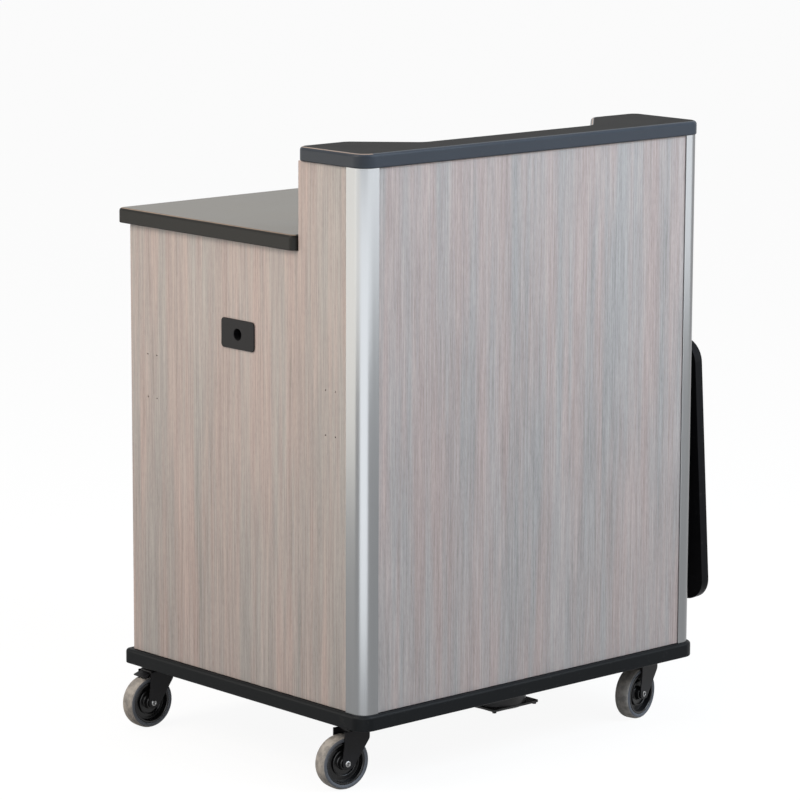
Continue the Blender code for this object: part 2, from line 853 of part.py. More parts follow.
def bracket_leg():
    """Wall plate with four screw heads, two ears and the pins of the arm and of the brace."""
    centre = worktop_bottom - bracket_drop
    reach = bracket_row_pitch / 2 + bracket_plate_margin
    half_plate = bracket_plate_width / 2
    outline = rectangle(-half_plate, centre - reach, half_plate, centre + reach, bracket_plate_radius)
    leg = plate([rounded(outline, small_steps)], seat_gap, seat_gap + bracket_sheet, "YZ")
    level = worktop_bottom - shelf_pivot_drop
    out = shelf_pivot_offset + ear_round
    inner = bracket_sheet / 2
    low = level - brace_pivot_drop - 2 * ear_round
    ear = rounded([
        (inner, low, 0), (out, low, ear_round), (out, level + ear_round, ear_round - seat_gap),
        (inner, level + ear_round, 0)], small_steps)
    for side in (-1, 1):
        middle = side * ear_half_spacing
        leg = joined(leg, plate([ear], middle - bracket_sheet / 2, middle + bracket_sheet / 2, "XZ"))
        for row in bracket_rows():
            screw = drum(bracket_screw_radius, inner, bracket_sheet + bracket_screw_height, bead_steps)
            shifted(along_x(screw), 0, side * bracket_hole_pitch / 2, row)
            leg = joined(leg, screw)
    arm_outside = ear_half_spacing + bracket_sheet / 2 + seat_gap + bracket_sheet + seat_gap
    arm_pin = cross_pin(pivot_pin_radius, arm_outside, pivot_head_radius, pivot_head_thickness)
    brace_pin = cross_pin(pivot_pin_radius, ear_half_spacing + bracket_sheet / 2 - seat_gap)
    shifted(arm_pin, shelf_pivot_offset, 0, level)
    shifted(brace_pin, shelf_pivot_offset, 0, level - brace_pivot_drop)
    return joined(leg, arm_pin, brace_pin)


def brace_reach(turn):
    """Distance along the arm to the brace's end, for an arm turned out from straight down."""
    offset = brace_pivot_drop * math.sin(turn)
    return brace_pivot_drop * math.cos(turn) + math.sqrt(brace_length ** 2 - offset ** 2)


def bracket_arm():
    """Channel under the shelf board, with its pivot holes and a slot for the brace's end."""
    inner = ear_half_spacing + bracket_sheet / 2 + seat_gap
    outer = inner + bracket_sheet
    top = shelf_seat_offset - seat_gap
    arm = box((-arm_heel, -outer, -arm_wall_drop), (arm_length, outer, top))
    arm = softened(arm, board_chamfer, 1)
    hollow = box(
        (-arm_heel - cut_overrun, -inner, -arm_wall_drop - cut_overrun),
        (arm_length - bracket_sheet, inner, top - bracket_sheet))
    hole = cross_hole(pivot_pin_radius + seat_gap, outer + cut_overrun)
    near, far = brace_reach(math.pi / 2), brace_reach(math.radians(shelf_lean))
    slot = stadium(near, far, pivot_pin_radius + 2 * seat_gap, small_steps)
    slot = plate([slot], -outer - cut_overrun, outer + cut_overrun, "XZ")
    return cut(arm, hollow, hole, slot)


def bracket_brace():
    """Brace of channel section with round ends, its far end carrying a short cross pin."""
    bar = plate([stadium(0, brace_length, brace_half_height)], -brace_half_width, brace_half_width, "XZ")
    trough = box(
        (2 * brace_half_height, bracket_sheet - brace_half_width, bracket_sheet - brace_half_height),
        (brace_length - 2 * brace_half_height, brace_half_width - bracket_sheet, 2 * brace_half_height))
    hole = cross_hole(pivot_pin_radius + seat_gap, brace_half_width + cut_overrun)
    pin = cross_pin(pivot_pin_radius, ear_half_spacing + bracket_sheet / 2 - seat_gap)
    return joined(cut(bar, trough, hole), shifted(pin, brace_length, 0, 0))


def square_places(pitch):
    """The four corners of a square pattern about the origin."""
    return [(x * pitch / 2, y * pitch / 2) for x in (-1, 1) for y in (-1, 1)]


def build_fan(cabinet):
    """Square axial fan hung under the base board: frame, rotor and wire guard."""
    top = base_bottom - seat_gap
    bottom = top - fan_depth
    centre = pivot("fan_axis", cabinet, (0, fan_centre_depth, 0))
    half = fan_size / 2
    outline = rounded(rectangle(-half, -half, half, half, fan_corner_radius), small_steps)
    holes = [circle(fan_hole_radius, x, y, bead_steps) for x, y in square_places(fan_hole_pitch)]
    frame = drum(fan_barrel_radius, bottom + fan_flange / 2, top - fan_flange / 2, bore_steps)
    frame = joined(frame, plate([outline] + holes, bottom, bottom + fan_flange))
    frame = joined(frame, plate([outline] + holes, top - fan_flange, top))
    spider = bottom + fan_strut_height
    windows = [fan_window(index) for index in range(fan_struts)]
    windows = plate(windows, bottom - cut_overrun, spider + cut_overrun)
    bore = reamer(fan_bore_radius, spider, top + cut_overrun, bore_steps)
    shaft_hole = reamer(fan_shaft_radius + seat_gap, bottom - cut_overrun, spider + cut_overrun)
    frame = cut(frame, bore, windows, shaft_hole)
    finished(frame, "fan_frame", "black plastic", centre)
    build_rotor(centre, bottom, bottom + fan_strut_height + 2 * seat_gap)
    build_guard(centre, bottom - seat_gap)


def fan_window(index):
    """Outline of one air window between two struts, the motor disc and the bore."""
    outline = []
    for radius, side in ((fan_bore_radius - fan_bore_lip, 1), (fan_motor_radius, -1)):
        half = math.pi / fan_struts - math.asin(fan_strut_width / 2 / radius)
        middle = 2 * math.pi * index / fan_struts
        for step in range(window_steps + 1):
            turn = middle + side * half * (2 * step / window_steps - 1)
            outline.append((radius * math.cos(turn), radius * math.sin(turn)))
    return outline


def build_rotor(centre, bottom, low):
    """Fan rotor with swept blades about a deep hub."""
    high = low + fan_hub_height
    rotor = turned([
        (0, high), (fan_hub_radius - board_chamfer, high), (fan_hub_radius, high - board_chamfer),
        (fan_hub_radius, low), (fan_shaft_radius, low), (fan_shaft_radius, bottom), (0, bottom)], hub_steps)
    blades = [fan_blade(index, (high + low) / 2) for index in range(fan_blades)]
    finished(joined(rotor, *blades), "fan_rotor", "black plastic", centre)


def fan_blade(index, level):
    """One blade: a helical patch given a sheet thickness."""
    mesh = bpy.data.meshes.new("blade")
    points, faces = [], []
    for step in range(blade_steps + 1):
        share = step / blade_steps - 1 / 2
        turn = 2 * math.pi * index / fan_blades + math.radians(fan_blade_wrap) * share
        for radius in (fan_blade_root_radius, fan_blade_tip_radius):
            rise = level + fan_blade_rise * share
            points.append((radius * math.cos(turn), radius * math.sin(turn), rise))
    for step in range(blade_steps):
        first = 2 * step
        faces.append((first, first + 1, first + 3, first + 2))
    mesh.from_pydata(points, [], faces)
    ob = workpiece(mesh)
    sheet = ob.modifiers.new("sheet", "SOLIDIFY")
    sheet.thickness = fan_blade_sheet
    sheet.offset = 0
    return welded(settled(ob))


def build_guard(centre, level):
    """Wire guard under the fan: rings on four legs that end in eyelets with screw heads."""
    ring_level = level - 3 * guard_wire_radius
    leg_level = level - 2 * guard_wire_radius
    rings = []
    for index in range(guard_rings):
        share = index / (guard_rings - 1)
        radius = guard_inner_ring + (guard_outer_ring - guard_inner_ring) * share
        route = [(x, y, ring_level) for x, y in circle(radius, steps=wire_steps)]
        rings.append(rod(route, guard_wire_radius, ring=True, resolution=0))
    legs = []
    for x, y in square_places(fan_hole_pitch):
        start = Vector((x, y)).normalized() * guard_inner_ring
        legs.append(rod([(start.x, start.y, leg_level), (x, y, leg_level)], guard_wire_radius, resolution=0))
        head = drum(guard_screw_radius, leg_level - guard_screw_height, level, hole_steps)
        legs.append(shifted(head, x, y, 0))
    finished(joined(rings[0], *rings[1:], *legs), "fan_guard", "bright steel", centre)


def tyre():
    """Soft tyre with round shoulders and a slightly crowned tread, turned about its axle."""
    half = wheel_width / 2
    inner = (wheel_radius - tyre_depth) / math.cos(math.pi / tyre_steps)
    shoulder = []
    for step in range(small_steps + 1):
        turn = math.pi / 2 * (1 - step / small_steps)
        shoulder.append((
            wheel_radius - tyre_shoulder + tyre_shoulder * math.cos(turn),
            half - tyre_shoulder + tyre_shoulder * math.sin(turn)))
    lower = [(radius, -z) for radius, z in reversed(shoulder)]
    return turned(shoulder + lower + [(inner, -half), (inner, half)], tyre_steps, ring=True)


def hub():
    """Hub with a rim, a recessed web and a long boss."""
    rim_outer = wheel_radius - tyre_depth - seat_gap
    rim_inner = rim_outer - hub_rim
    half, web, boss = wheel_width / 2 - seat_gap, hub_web / 2, hub_boss_width / 2
    bore = axle_radius + seat_gap
    side = [
        (bore, boss), (hub_boss_radius, boss), (hub_boss_radius + hub_rim / 2, web),
        (rim_inner - hub_rim / 2, web), (rim_inner, half), (rim_outer, half),
    ]
    return turned(side + [(radius, -z) for radius, z in reversed(side)], hub_steps, ring=True)


def axle():
    """Hollow rivet through the fork's legs and the hub."""
    end = fork_half_spacing + fork_sheet + seat_gap
    tip = end + axle_head_thickness
    hollow = tip - axle_hollow_depth
    half = [
        (0, hollow), (axle_hollow_radius, hollow), (axle_hollow_radius, tip),
        (axle_head_radius - axle_head_thickness / 2, tip), (axle_head_radius, end), (axle_radius, end),
    ]
    return turned(half + [(radius, -z) for radius, z in reversed(half)], pin_steps)


def fork_outline():
    """Fork leg in X and Z: a wide shoulder under the crown that narrows to the axle's boss."""
    top = fork_crown_level + fork_sheet
    boss_lead = wheel_trail - fork_boss_radius
    boss_tail = wheel_trail + fork_boss_radius
    return rounded([
        (-fork_lead, top, 0), (-fork_lead, fork_shoulder_level, fork_boss_radius),
        (boss_lead, wheel_radius - fork_boss_radius, fork_boss_radius - seat_gap),
        (boss_tail, wheel_radius - fork_boss_radius, fork_boss_radius - seat_gap),
        (boss_tail, wheel_radius + fork_boss_radius, fork_boss_radius / 2),
        (fork_tail, fork_shoulder_level, fork_boss_radius), (fork_tail, top, 0),
    ], fork_steps)


def fork():
    """Pressed fork: two legs, a crown and the lower half of the swivel race."""
    outline = fork_outline()
    outer = fork_half_spacing + fork_sheet
    crown_tail = pedal_pivot_trail - pedal_barrel_radius - 2 * seat_gap
    crown_top = fork_crown_level + fork_sheet
    body = box((-fork_lead, -outer, fork_crown_level), (crown_tail, outer, crown_top))
    for side in (-1, 1):
        low, high = sorted((side * fork_half_spacing, side * outer))
        body = joined(body, plate([outline], low, high, "XZ"))
    race_top = caster_height - seat_gap - caster_plate_thickness - race_drop - seat_gap
    body = joined(body, drum(race_radius, fork_crown_level + fork_sheet / 2, race_top, race_steps))
    kingpin_hole = reamer(kingpin_radius + seat_gap, fork_crown_level - cut_overrun, caster_height)
    axle_hole = cross_hole(axle_radius + seat_gap, outer + cut_overrun)
    shifted(axle_hole, wheel_trail, 0, wheel_radius)
    return cut(body, kingpin_hole, axle_hole)


def braked_fork():
    """Fork with the pedal's pin."""
    pin = cross_pin(pedal_pin_radius, fork_half_spacing + fork_sheet - seat_gap)
    return joined(fork(), shifted(pin, pedal_pivot_trail, 0, pedal_pivot_level))


def caster_plate():
    """Top plate with four bolt heads, the upper half of the swivel race and the kingpin."""
    top = caster_height - seat_gap
    bottom = top - caster_plate_thickness
    half_x, half_y = caster_plate_length / 2, caster_plate_width / 2
    outline = rounded(rectangle(-half_x, -half_y, half_x, half_y, caster_plate_radius), small_steps)
    body = plate([outline], bottom, top)
    middle = bottom + caster_plate_thickness / 2
    race_bottom = bottom - race_drop
    pin_bottom = fork_crown_level - seat_gap
    head_bottom = pin_bottom - kingpin_head_thickness
    race = turned([
        (0, middle), (race_radius, middle), (race_radius, race_bottom), (kingpin_radius, race_bottom),
        (kingpin_radius, pin_bottom), (kingpin_head_radius, pin_bottom), (kingpin_head_radius, head_bottom),
        (0, head_bottom)], race_steps)
    heads = []
    for x in (caster_bolt_inset - half_x, half_x - caster_bolt_inset):
        for y in (caster_bolt_inset - half_y, half_y - caster_bolt_inset):
            head = drum(caster_bolt_radius, bottom - caster_bolt_height, middle, bead_steps)
            heads.append(shifted(head, x, y, 0))
    return joined(body, race, *heads)


def pedal():
    """Brake pedal about its pivot, drawn pressed: barrel, tread plate and a shoe for the tyre."""
    slope = math.radians(-pedal_slope)
    along = Vector((math.cos(slope), math.sin(slope)))
    across = Vector((-math.sin(slope), math.cos(slope)))
    half = pedal_sheet / 2
    tip = along * pedal_reach
    tread = [across * half, across * -half, tip - across * half, tip + across * half]
    tread = plate([[tuple(point) for point in tread]], -pedal_width / 2, pedal_width / 2, "XZ")
    barrel = cross_pin(pedal_barrel_radius, pedal_width / 2)
    shoe_centre = along * (pedal_reach - pedal_shoe_width)
    shoe = plate([[
        tuple(shoe_centre + along * side * pedal_shoe_width / 2 + across * drop)
        for side, drop in ((-1, 0), (-1, -pedal_shoe_width), (1, -pedal_shoe_width), (1, 0))
    ]], -pedal_width / 2 + pedal_sheet, pedal_width / 2 - pedal_sheet, "XZ")
    tyre_room = cross_hole(wheel_radius + seat_gap, pedal_width, 2 * tyre_steps)
    shifted(tyre_room, wheel_trail - pedal_pivot_trail, 0, wheel_radius - pedal_pivot_level)
    shoe = cut(shoe, tyre_room)
    body = joined(barrel, tread, shoe)
    return cut(body, cross_hole(pedal_pin_radius + seat_gap, pedal_width))


def build_casters(cabinet):
    """Four swivel casters, the rear two with brake pedals."""
    parts = {
        "plate": caster_plate(), "fork": fork(), "braked_fork": braked_fork(), "axle": axle(),
        "hub": hub(), "tyre": tyre(), "pedal": pedal(),
    }
    for corner, turn in caster_turns.items():
        x = half_width - caster_side_inset
        x = -x if corner.endswith("left") else x
        y = caster_front_inset if corner.startswith("front") else body_depth - caster_rear_inset
        place = (x, y, 0)
        swivel = pivot(f"caster_{corner}_swivel", cabinet, place, (0, 0, math.radians(turn)))
        wheel = pivot(f"caster_{corner}_wheel", swivel, (wheel_trail, 0, wheel_radius), (math.pi / 2, 0, 0))
        finished(copied(parts["plate"]), f"caster_{corner}_plate", "black steel", cabinet, place)
        own_fork = "braked_fork" if corner in pedal_lifts else "fork"
        finished(copied(parts[own_fork]), f"caster_{corner}_fork", "black steel", swivel)
        finished(copied(parts["axle"]), f"caster_{corner}_axle", "bright steel", wheel)
        finished(copied(parts["hub"]), f"caster_{corner}_hub", "black plastic", wheel)
        finished(copied(parts["tyre"]), f"caster_{corner}_tyre", "grey rubber", wheel)
        if corner in pedal_lifts:
            lift = -math.radians(pedal_lifts[corner])
            pedal_place = (pedal_pivot_trail, 0, pedal_pivot_level)
            brake = pivot(f"caster_{corner}_brake", swivel, pedal_place, (0, lift, 0))
            finished(copied(parts["pedal"]), f"caster_{corner}_pedal", "black steel", brake)
    for ob in parts.values():
        bpy.data.objects.remove(ob)


def centred_on_floor(cabinet):
    """Moves the whole lectern so that its box stands centred on the origin."""
    bpy.context.view_layer.update()
    corners = [ob.matrix_world @ vertex.co for ob in pieces.objects for vertex in ob.data.vertices]
    for axis in (0, 1):
        reach = [corner[axis] for corner in corners]
        cabinet.location[axis] -= (max(reach) + min(reach)) / 2


for leftover in list(bpy.data.objects):
    bpy.data.objects.remove(leftover)

pieces = new_collection("lectern")
workshop = new_collection("workshop")
body = pivot("lectern_body", None, (0, 0, 0))
build_base(body)
build_side_panels(body)
build_cable_plate(body)
build_front_panel(body)
build_posts(body)
build_worktop(body)
build_riser_panel(body)
build_cap(body)
build_inner_shelf(body)
build_doors(body)
build_fold_shelf(body)
build_fan(body)
build_casters(body)
centred_on_floor(body)
bpy.data.collections.remove(workshop)
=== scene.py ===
"""Mobile lectern dressed for its picture: boards, panels, posts, casters, fan, doors and side shelf.

Metres, +Z up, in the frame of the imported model. The audience panel faces -Y and the doors face +Y.
"""
import math

import bmesh
import bpy
from mathutils import Matrix, Vector


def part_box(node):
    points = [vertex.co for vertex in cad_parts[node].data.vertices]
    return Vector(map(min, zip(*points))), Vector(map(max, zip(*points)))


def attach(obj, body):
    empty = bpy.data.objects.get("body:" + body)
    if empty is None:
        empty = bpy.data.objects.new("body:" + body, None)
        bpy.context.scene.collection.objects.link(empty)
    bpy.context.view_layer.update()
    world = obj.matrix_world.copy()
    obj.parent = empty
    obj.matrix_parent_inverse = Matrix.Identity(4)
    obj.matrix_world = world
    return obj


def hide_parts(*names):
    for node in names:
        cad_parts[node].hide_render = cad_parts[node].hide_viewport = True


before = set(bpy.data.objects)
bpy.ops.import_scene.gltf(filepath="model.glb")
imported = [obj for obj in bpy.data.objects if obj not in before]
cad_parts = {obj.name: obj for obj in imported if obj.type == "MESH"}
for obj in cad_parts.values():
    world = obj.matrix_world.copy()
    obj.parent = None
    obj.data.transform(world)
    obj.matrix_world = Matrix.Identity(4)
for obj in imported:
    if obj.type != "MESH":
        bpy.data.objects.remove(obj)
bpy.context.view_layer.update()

# The stage. A long lens stands on the audience's left, higher than the top cap, and looks down a
# little. The floor is plain and pale, and soft lamps light the lectern: cool from the right, warm
# from the left. Five pale cards show in gloss alone, and draw the bands on the metal posts.
camera_place = (-4.8393, -5.2729, 1.9574)
camera_yaw = 42.211
camera_pitch = 10.4446
camera_roll = 0.2046
lens_pixels = 3752.4
picture_pixels = 800
sensor_width = 36.0
floor_reach = 60.0
floor_seen = (0.97, 0.97, 0.97)
floor_bounce = (0.24, 0.22, 0.20)
floor_glow_share = 0.93
sky_strength = 0.45
lamps = (
    ("window", (1.1, -2.8, 3.0), (2.2, 1.8), 138.0, (0.75, 0.87, 1.0)),
    ("room", (-2.8, 0.6, 2.9), (1.8, 1.8), 85.0, (1.0, 0.89, 0.78)),
    ("ceiling", (0.0, 0.4, 4.2), (3.0, 3.0), 60.0, (1.0, 0.99, 0.97)),
)
cards = (
    ("card_window", (1.20, -1.90, 1.02), (1.8, 0.90), 13.5, (0.94, 0.97, 1.0)),
    ("card_camera", (-1.07, -0.98, 0.54), (1.25, 1.05), 11.5, (0.94, 0.97, 1.0)),
    ("card_wall", (-1.79, 1.15, 0.72), (1.4, 1.1), 12.0, (1.0, 0.95, 0.86)),
    ("card_high_left", (-1.42, -0.14, 0.94), (0.78, 0.60), 3.1, (1.0, 0.98, 0.93)),
    ("card_high_front", (-0.31, -1.33, 0.94), (0.66, 0.60), 3.0, (0.94, 0.97, 1.0)),
)
lamp_target = (0, -0.1, 0.6)
card_target = (-0.3, -0.2)


def camera_turn(yaw, pitch, roll):
    """Rotation of a camera that looks along a yaw from +Y and down by a pitch."""
    ahead = Vector((math.sin(yaw) * math.cos(pitch), math.cos(yaw) * math.cos(pitch), -math.sin(pitch)))
    level = Vector((math.cos(yaw), -math.sin(yaw), 0))
    upright = level.cross(ahead)
    right = level * math.cos(roll) + upright * math.sin(roll)
    up = upright * math.cos(roll) - level * math.sin(roll)
    return Matrix((right, up, -ahead)).transposed().to_euler()


def workpiece(name, data):
    """New object on a mesh, curve, lamp or camera."""
    piece = bpy.data.objects.new(name, data)
    bpy.context.scene.collection.objects.link(piece)
    return piece


class Value:
    """A socket in a finish. Arithmetic on it adds Math nodes."""

    def __init__(self, recipe, socket):
        self.recipe = recipe
        self.socket = socket

    def maths(self, operation, *others):
        """The result of a Math node on this value and others."""
        return self.recipe.node("ShaderNodeMath", dict(enumerate((self, *others))), operation=operation)

    def __add__(self, other):
        return self.maths("ADD", other)

    def __sub__(self, other):
        return self.maths("SUBTRACT", other)

    def __mul__(self, other):
        return self.maths("MULTIPLY", other)

    def __rsub__(self, other):
        return self * -1 + other

    def ramp(self, low, high):
        """0 to 1, with soft ends, as the value goes from low to high."""
        inputs = {"Value": self, "From Min": low, "From Max": high}
        return self.recipe.node("ShaderNodeMapRange", inputs, interpolation_type="SMOOTHSTEP")


class Recipe:
    """Nodes of a material or of the backdrop."""

    def __init__(self, tree):
        self.tree = tree

    def feed(self, socket, value):
        """Links a value to a socket, or sets the socket to a number."""
        if isinstance(value, Value):
            self.tree.links.new(value.socket, socket)
        else:
            socket.default_value = value

    def node(self, kind, inputs=None, output=0, **settings):
        """A node with its settings made first and its inputs fed next. Gives one of its outputs."""
        made = self.tree.nodes.new(kind)
        for setting, value in settings.items():
            setattr(made, setting, value)
        for socket, value in (inputs or {}).items():
            self.feed(made.inputs[socket], value)
        return Value(self, made.outputs[output])

    def vector(self, x=0.0, y=0.0, z=0.0):
        """Three numbers as one vector."""
        return self.node("ShaderNodeCombineXYZ", {0: x, 1: y, 2: z})

    def seen_straight(self):
        """1 for rays from the camera, from gloss and through glass."""
        rays = [self.node("ShaderNodeLightPath", output=f"Is {ray} Ray")
                for ray in ("Camera", "Glossy", "Transmission")]
        return rays[0].maths("MAXIMUM", rays[1]).maths("MAXIMUM", rays[2])


class Finish(Recipe):
    """A material in the making, with its Principled shader."""

    def __init__(self, name, sheen, metallic=0.0, gloss=0.5):
        self.material = bpy.data.materials.new(name)
        self.material.use_nodes = True
        super().__init__(self.material.node_tree)
        self.shader = self.tree.nodes["Principled BSDF"]
        self.put("Roughness", sheen)
        self.put("Metallic", metallic)
        self.put("Specular IOR Level", gloss)

    def put(self, socket, value):
        """Feeds one of the shader's inputs."""
        self.feed(self.shader.inputs[socket], value)

    def noise(self, scale, detail=3.0, roughness=0.5, stretch=(1, 1, 1)):
        """Soft noise from 0 to 1, its scale in cycles per metre, its grain stretched by an axis."""
        where = self.node("ShaderNodeTexCoord", output="Object")
        where = self.node("ShaderNodeMapping", {"Vector": where, "Scale": stretch})
        inputs = {"Vector": where, "Scale": scale, "Detail": detail, "Roughness": roughness}
        return self.node("ShaderNodeTexNoise", inputs)

    def mark(self, name):
        """A number that the piece's mesh carries on its faces."""
        return self.node("ShaderNodeAttribute", output="Fac", attribute_name=name)

    def mixed(self, share, first, second, mode="MIX"):
        """Two colours mixed by a share."""
        first, second = (tone if isinstance(tone, Value) else (*tone, 1) for tone in (first, second))
        inputs = {0: share, 6: first, 7: second}
        return self.node("ShaderNodeMix", inputs, output=2, data_type="RGBA", blend_type=mode)

    def clouded(self, cloud, colour, spread):
        """A colour that is darker and lighter by a share, from cloud to cloud."""
        dark, light = (tuple(part * share for part in colour) for share in (1 - spread, 1 + spread))
        return self.mixed(cloud, dark, light)

    def bump(self, height, distance, strength):
        """Fine relief."""
        inputs = {"Height": height, "Distance": distance, "Strength": strength}
        self.put("Normal", self.node("ShaderNodeBump", inputs))


camera = workpiece("camera", bpy.data.cameras.new("camera"))
camera.location = camera_place
camera.rotation_euler = camera_turn(*map(math.radians, (camera_yaw, camera_pitch, camera_roll)))
camera.data.sensor_width = sensor_width
camera.data.lens = lens_pixels / picture_pixels * sensor_width
camera.data.clip_end = 2 * floor_reach
bpy.context.scene.camera = camera
bpy.context.scene.view_settings.view_transform = "Standard"

floor_mesh = bpy.data.meshes.new("floor")
floor_corners = [(x * floor_reach, y * floor_reach, 0) for x, y in ((-1, -1), (1, -1), (1, 1), (-1, 1))]
floor_mesh.from_pydata(floor_corners, [], [(0, 1, 2, 3)])
paint = Finish("floor paint", 0.9)
straight = paint.seen_straight()
paint.put("Base Color", paint.mixed(straight, floor_bounce, floor_seen))
glow = paint.node("ShaderNodeEmission", {"Color": (1, 1, 1, 1), "Strength": 1.0})
matt = Value(paint, paint.shader.outputs[0])
floor_look = paint.node("ShaderNodeMixShader", {0: straight * floor_glow_share, 1: matt, 2: glow})
paint.feed(paint.tree.nodes["Material Output"].inputs["Surface"], floor_look)
floor_mesh.materials.append(paint.material)
workpiece("floor", floor_mesh)

world = bpy.data.worlds.new("studio")
bpy.context.scene.world = world
world.use_nodes = True
backdrop = Recipe(world.node_tree)
backdrop_light = world.node_tree.nodes["Background"]
backdrop_light.inputs["Color"].default_value = (1, 1, 1, 1)
backdrop_strength = backdrop.seen_straight() * (1 - sky_strength) + sky_strength
backdrop.feed(backdrop_light.inputs["Strength"], backdrop_strength)

for name, place, size, power, colour in lamps + cards:
    lamp = bpy.data.lights.new(name, "AREA")
    lamp.shape = "RECTANGLE"
    lamp.size, lamp.size_y = size
    lamp.energy = power
    lamp.color = colour
    holder = workpiece(name, lamp)
    holder.location = place
    is_card = name.startswith("card")
    holder.visible_diffuse = not is_card
    aim = Vector((*card_target, place[2]) if is_card else lamp_target)
    holder.rotation_euler = (aim - Vector(place)).to_track_quat("-Z", "Y").to_euler()

# The base board. A 29 mm board faced with black laminate, with a soft edging all round, rounder
# above than below, and the fan's air hole bored through it.
base_front_corner = 0.030
base_rear_corner = 0.012
edging_round = 0.0065
edging_under_share = 0.35
edging_steps = 8
flat_facing = 0.999
# The rim line sits only on the -X side of the top rim: partly the laminate's brown core line, partly a
# painted warm highlight.
line_facing = (0.86, 0.97)
highlight_side_facing = -0.05
corner_steps = 12
hole_steps = 64
fan_hole_radius = 0.055
cut_overrun = 0.002


def rounded(corners, steps=corner_steps):
    """Closed outline of (x, y, radius) corners, with each radius turned into an arc."""
    outline = []
    for index, (x, y, radius) in enumerate(corners):
        corner = Vector((x, y))
        if radius == 0:
            outline.append((x, y))
            continue
        back = (Vector(corners[index - 1][:2]) - corner).normalized()
        ahead = (Vector(corners[(index + 1) % len(corners)][:2]) - corner).normalized()
        half = back.angle(ahead) / 2
        centre = corner + (back + ahead).normalized() * radius / math.sin(half)
        start = corner + back * radius / math.tan(half) - centre
        side = 1 if back.x * ahead.y - back.y * ahead.x < 0 else -1
        sweep = side * (math.pi - 2 * half)
        for step in range(steps + 1):
            turn = sweep * step / steps
            outline.append((
                centre.x + start.x * math.cos(turn) - start.y * math.sin(turn),
                centre.y + start.x * math.sin(turn) + start.y * math.cos(turn)))
    return outline


def rectangle(low_x, low_y, high_x, high_y, radius=0):
    """Corners of a rectangle with one radius."""
    return [(x, y, radius) for x, y in ((low_x, low_y), (high_x, low_y), (high_x, high_y), (low_x, high_y))]


def circle(radius, steps=hole_steps, x=0, y=0):
    """Points of a circle."""
    turns = [2 * math.pi * step / steps for step in range(steps)]
    return [(x + radius * math.cos(turn), y + radius * math.sin(turn)) for turn in turns]


def four_places(half_x, half_y):
    """Corners of a rectangle about the origin."""
    return [(x, y, 0) for x in (-half_x, half_x) for y in (-half_y, half_y)]


def settled(piece):
    """The object with its modifiers turned into plain mesh."""
    bpy.context.view_layer.update()
    graph = bpy.context.evaluated_depsgraph_get()
    mesh = bpy.data.meshes.new_from_object(piece.evaluated_get(graph))
    name = piece.name
    bpy.data.objects.remove(piece)
    return workpiece(name, mesh)


def moved(piece, matrix):
    """The object with its mesh carried through a matrix."""
    piece.data.transform(matrix)
    if matrix.determinant() < 0:
        piece.data.flip_normals()
    return piece


def from_shape(name, shape):
    """Object from a bmesh whose doubles are merged and faces turned outwards."""
    bmesh.ops.remove_doubles(shape, verts=shape.verts, dist=1e-6)
    bmesh.ops.recalc_face_normals(shape, faces=shape.faces)
    mesh = bpy.data.meshes.new(name)
    shape.to_mesh(mesh)
    shape.free()
    return workpiece(name, mesh)


planes = {
    "XY": Matrix.Identity(4),
    "YZ": Matrix(((0, 0, 1, 0), (1, 0, 0, 0), (0, 1, 0, 0), (0, 0, 0, 1))),
    "XZ": Matrix(((1, 0, 0, 0), (0, 0, -1, 0), (0, 1, 0, 0), (0, 0, 0, 1))),
}


def plate(name, outline, low, high, plane="XY"):
    """Flat board from an outline, between two levels of its own normal. An XZ board's normal is -Y."""
    shape = bmesh.new()
    face = shape.faces.new([shape.verts.new((x, y, low)) for x, y in outline])
    grown = bmesh.ops.extrude_face_region(shape, geom=[face], use_keep_orig=True)
    raised = [part for part in grown["geom"] if isinstance(part, bmesh.types.BMVert)]
    bmesh.ops.translate(shape, vec=(0, 0, high - low), verts=raised)
    return moved(from_shape(name, shape), planes[plane])


def combined(piece, tools, operation):
    """The object joined with the tools, or cut by them."""
    for tool in tools:
        step = piece.modifiers.new("combine", "BOOLEAN")
        step.operation = operation
        step.solver = "EXACT"
        step.object = tool
    piece = settled(piece)
    for tool in tools:
        bpy.data.objects.remove(tool)
    return piece


def joined(piece, *tools):
    """Union of the pieces."""
    return combined(piece, tools, "UNION")


def cut(piece, *tools):
    """The object with the tools taken away."""
    return combined(piece, tools, "DIFFERENCE")


def softened(piece, width, steps=2, sharpest=30.0):
    """The object with its sharp edges rounded."""
    bevel = piece.modifiers.new("soften", "BEVEL")
    bevel.width = width
    bevel.segments = steps
    bevel.limit_method = "ANGLE"
    bevel.angle_limit = math.radians(sharpest)
    return settled(piece)


def shaded(piece, sharpest=38.0):
    """The object drawn smooth, with its large faces kept flat."""
    piece.data.shade_smooth()
    piece.data.set_sharp_from_angle(angle=math.radians(sharpest))
    weigh = piece.modifiers.new("weigh", "WEIGHTED_NORMAL")
    weigh.keep_sharp = True
    return settled(piece)


def marked(piece, name, test):
    """The object with a number on its faces: 1 where the test holds, else 0."""
    marks = piece.data.attributes.new(name, "FLOAT", "FACE")
    for face in piece.data.polygons:
        marks.data[face.index].value = 1.0 if test(face) else 0.0
    return piece


def hung(piece, finish, body, slot, *nodes):
    """The finished piece with its material and body, in place of the nodes it stands for. The slot is not
    used.
    """
    piece.data.materials.clear()
    piece.data.materials.append(finish)
    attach(piece, body)
    if nodes:
        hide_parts(*nodes)
    return piece


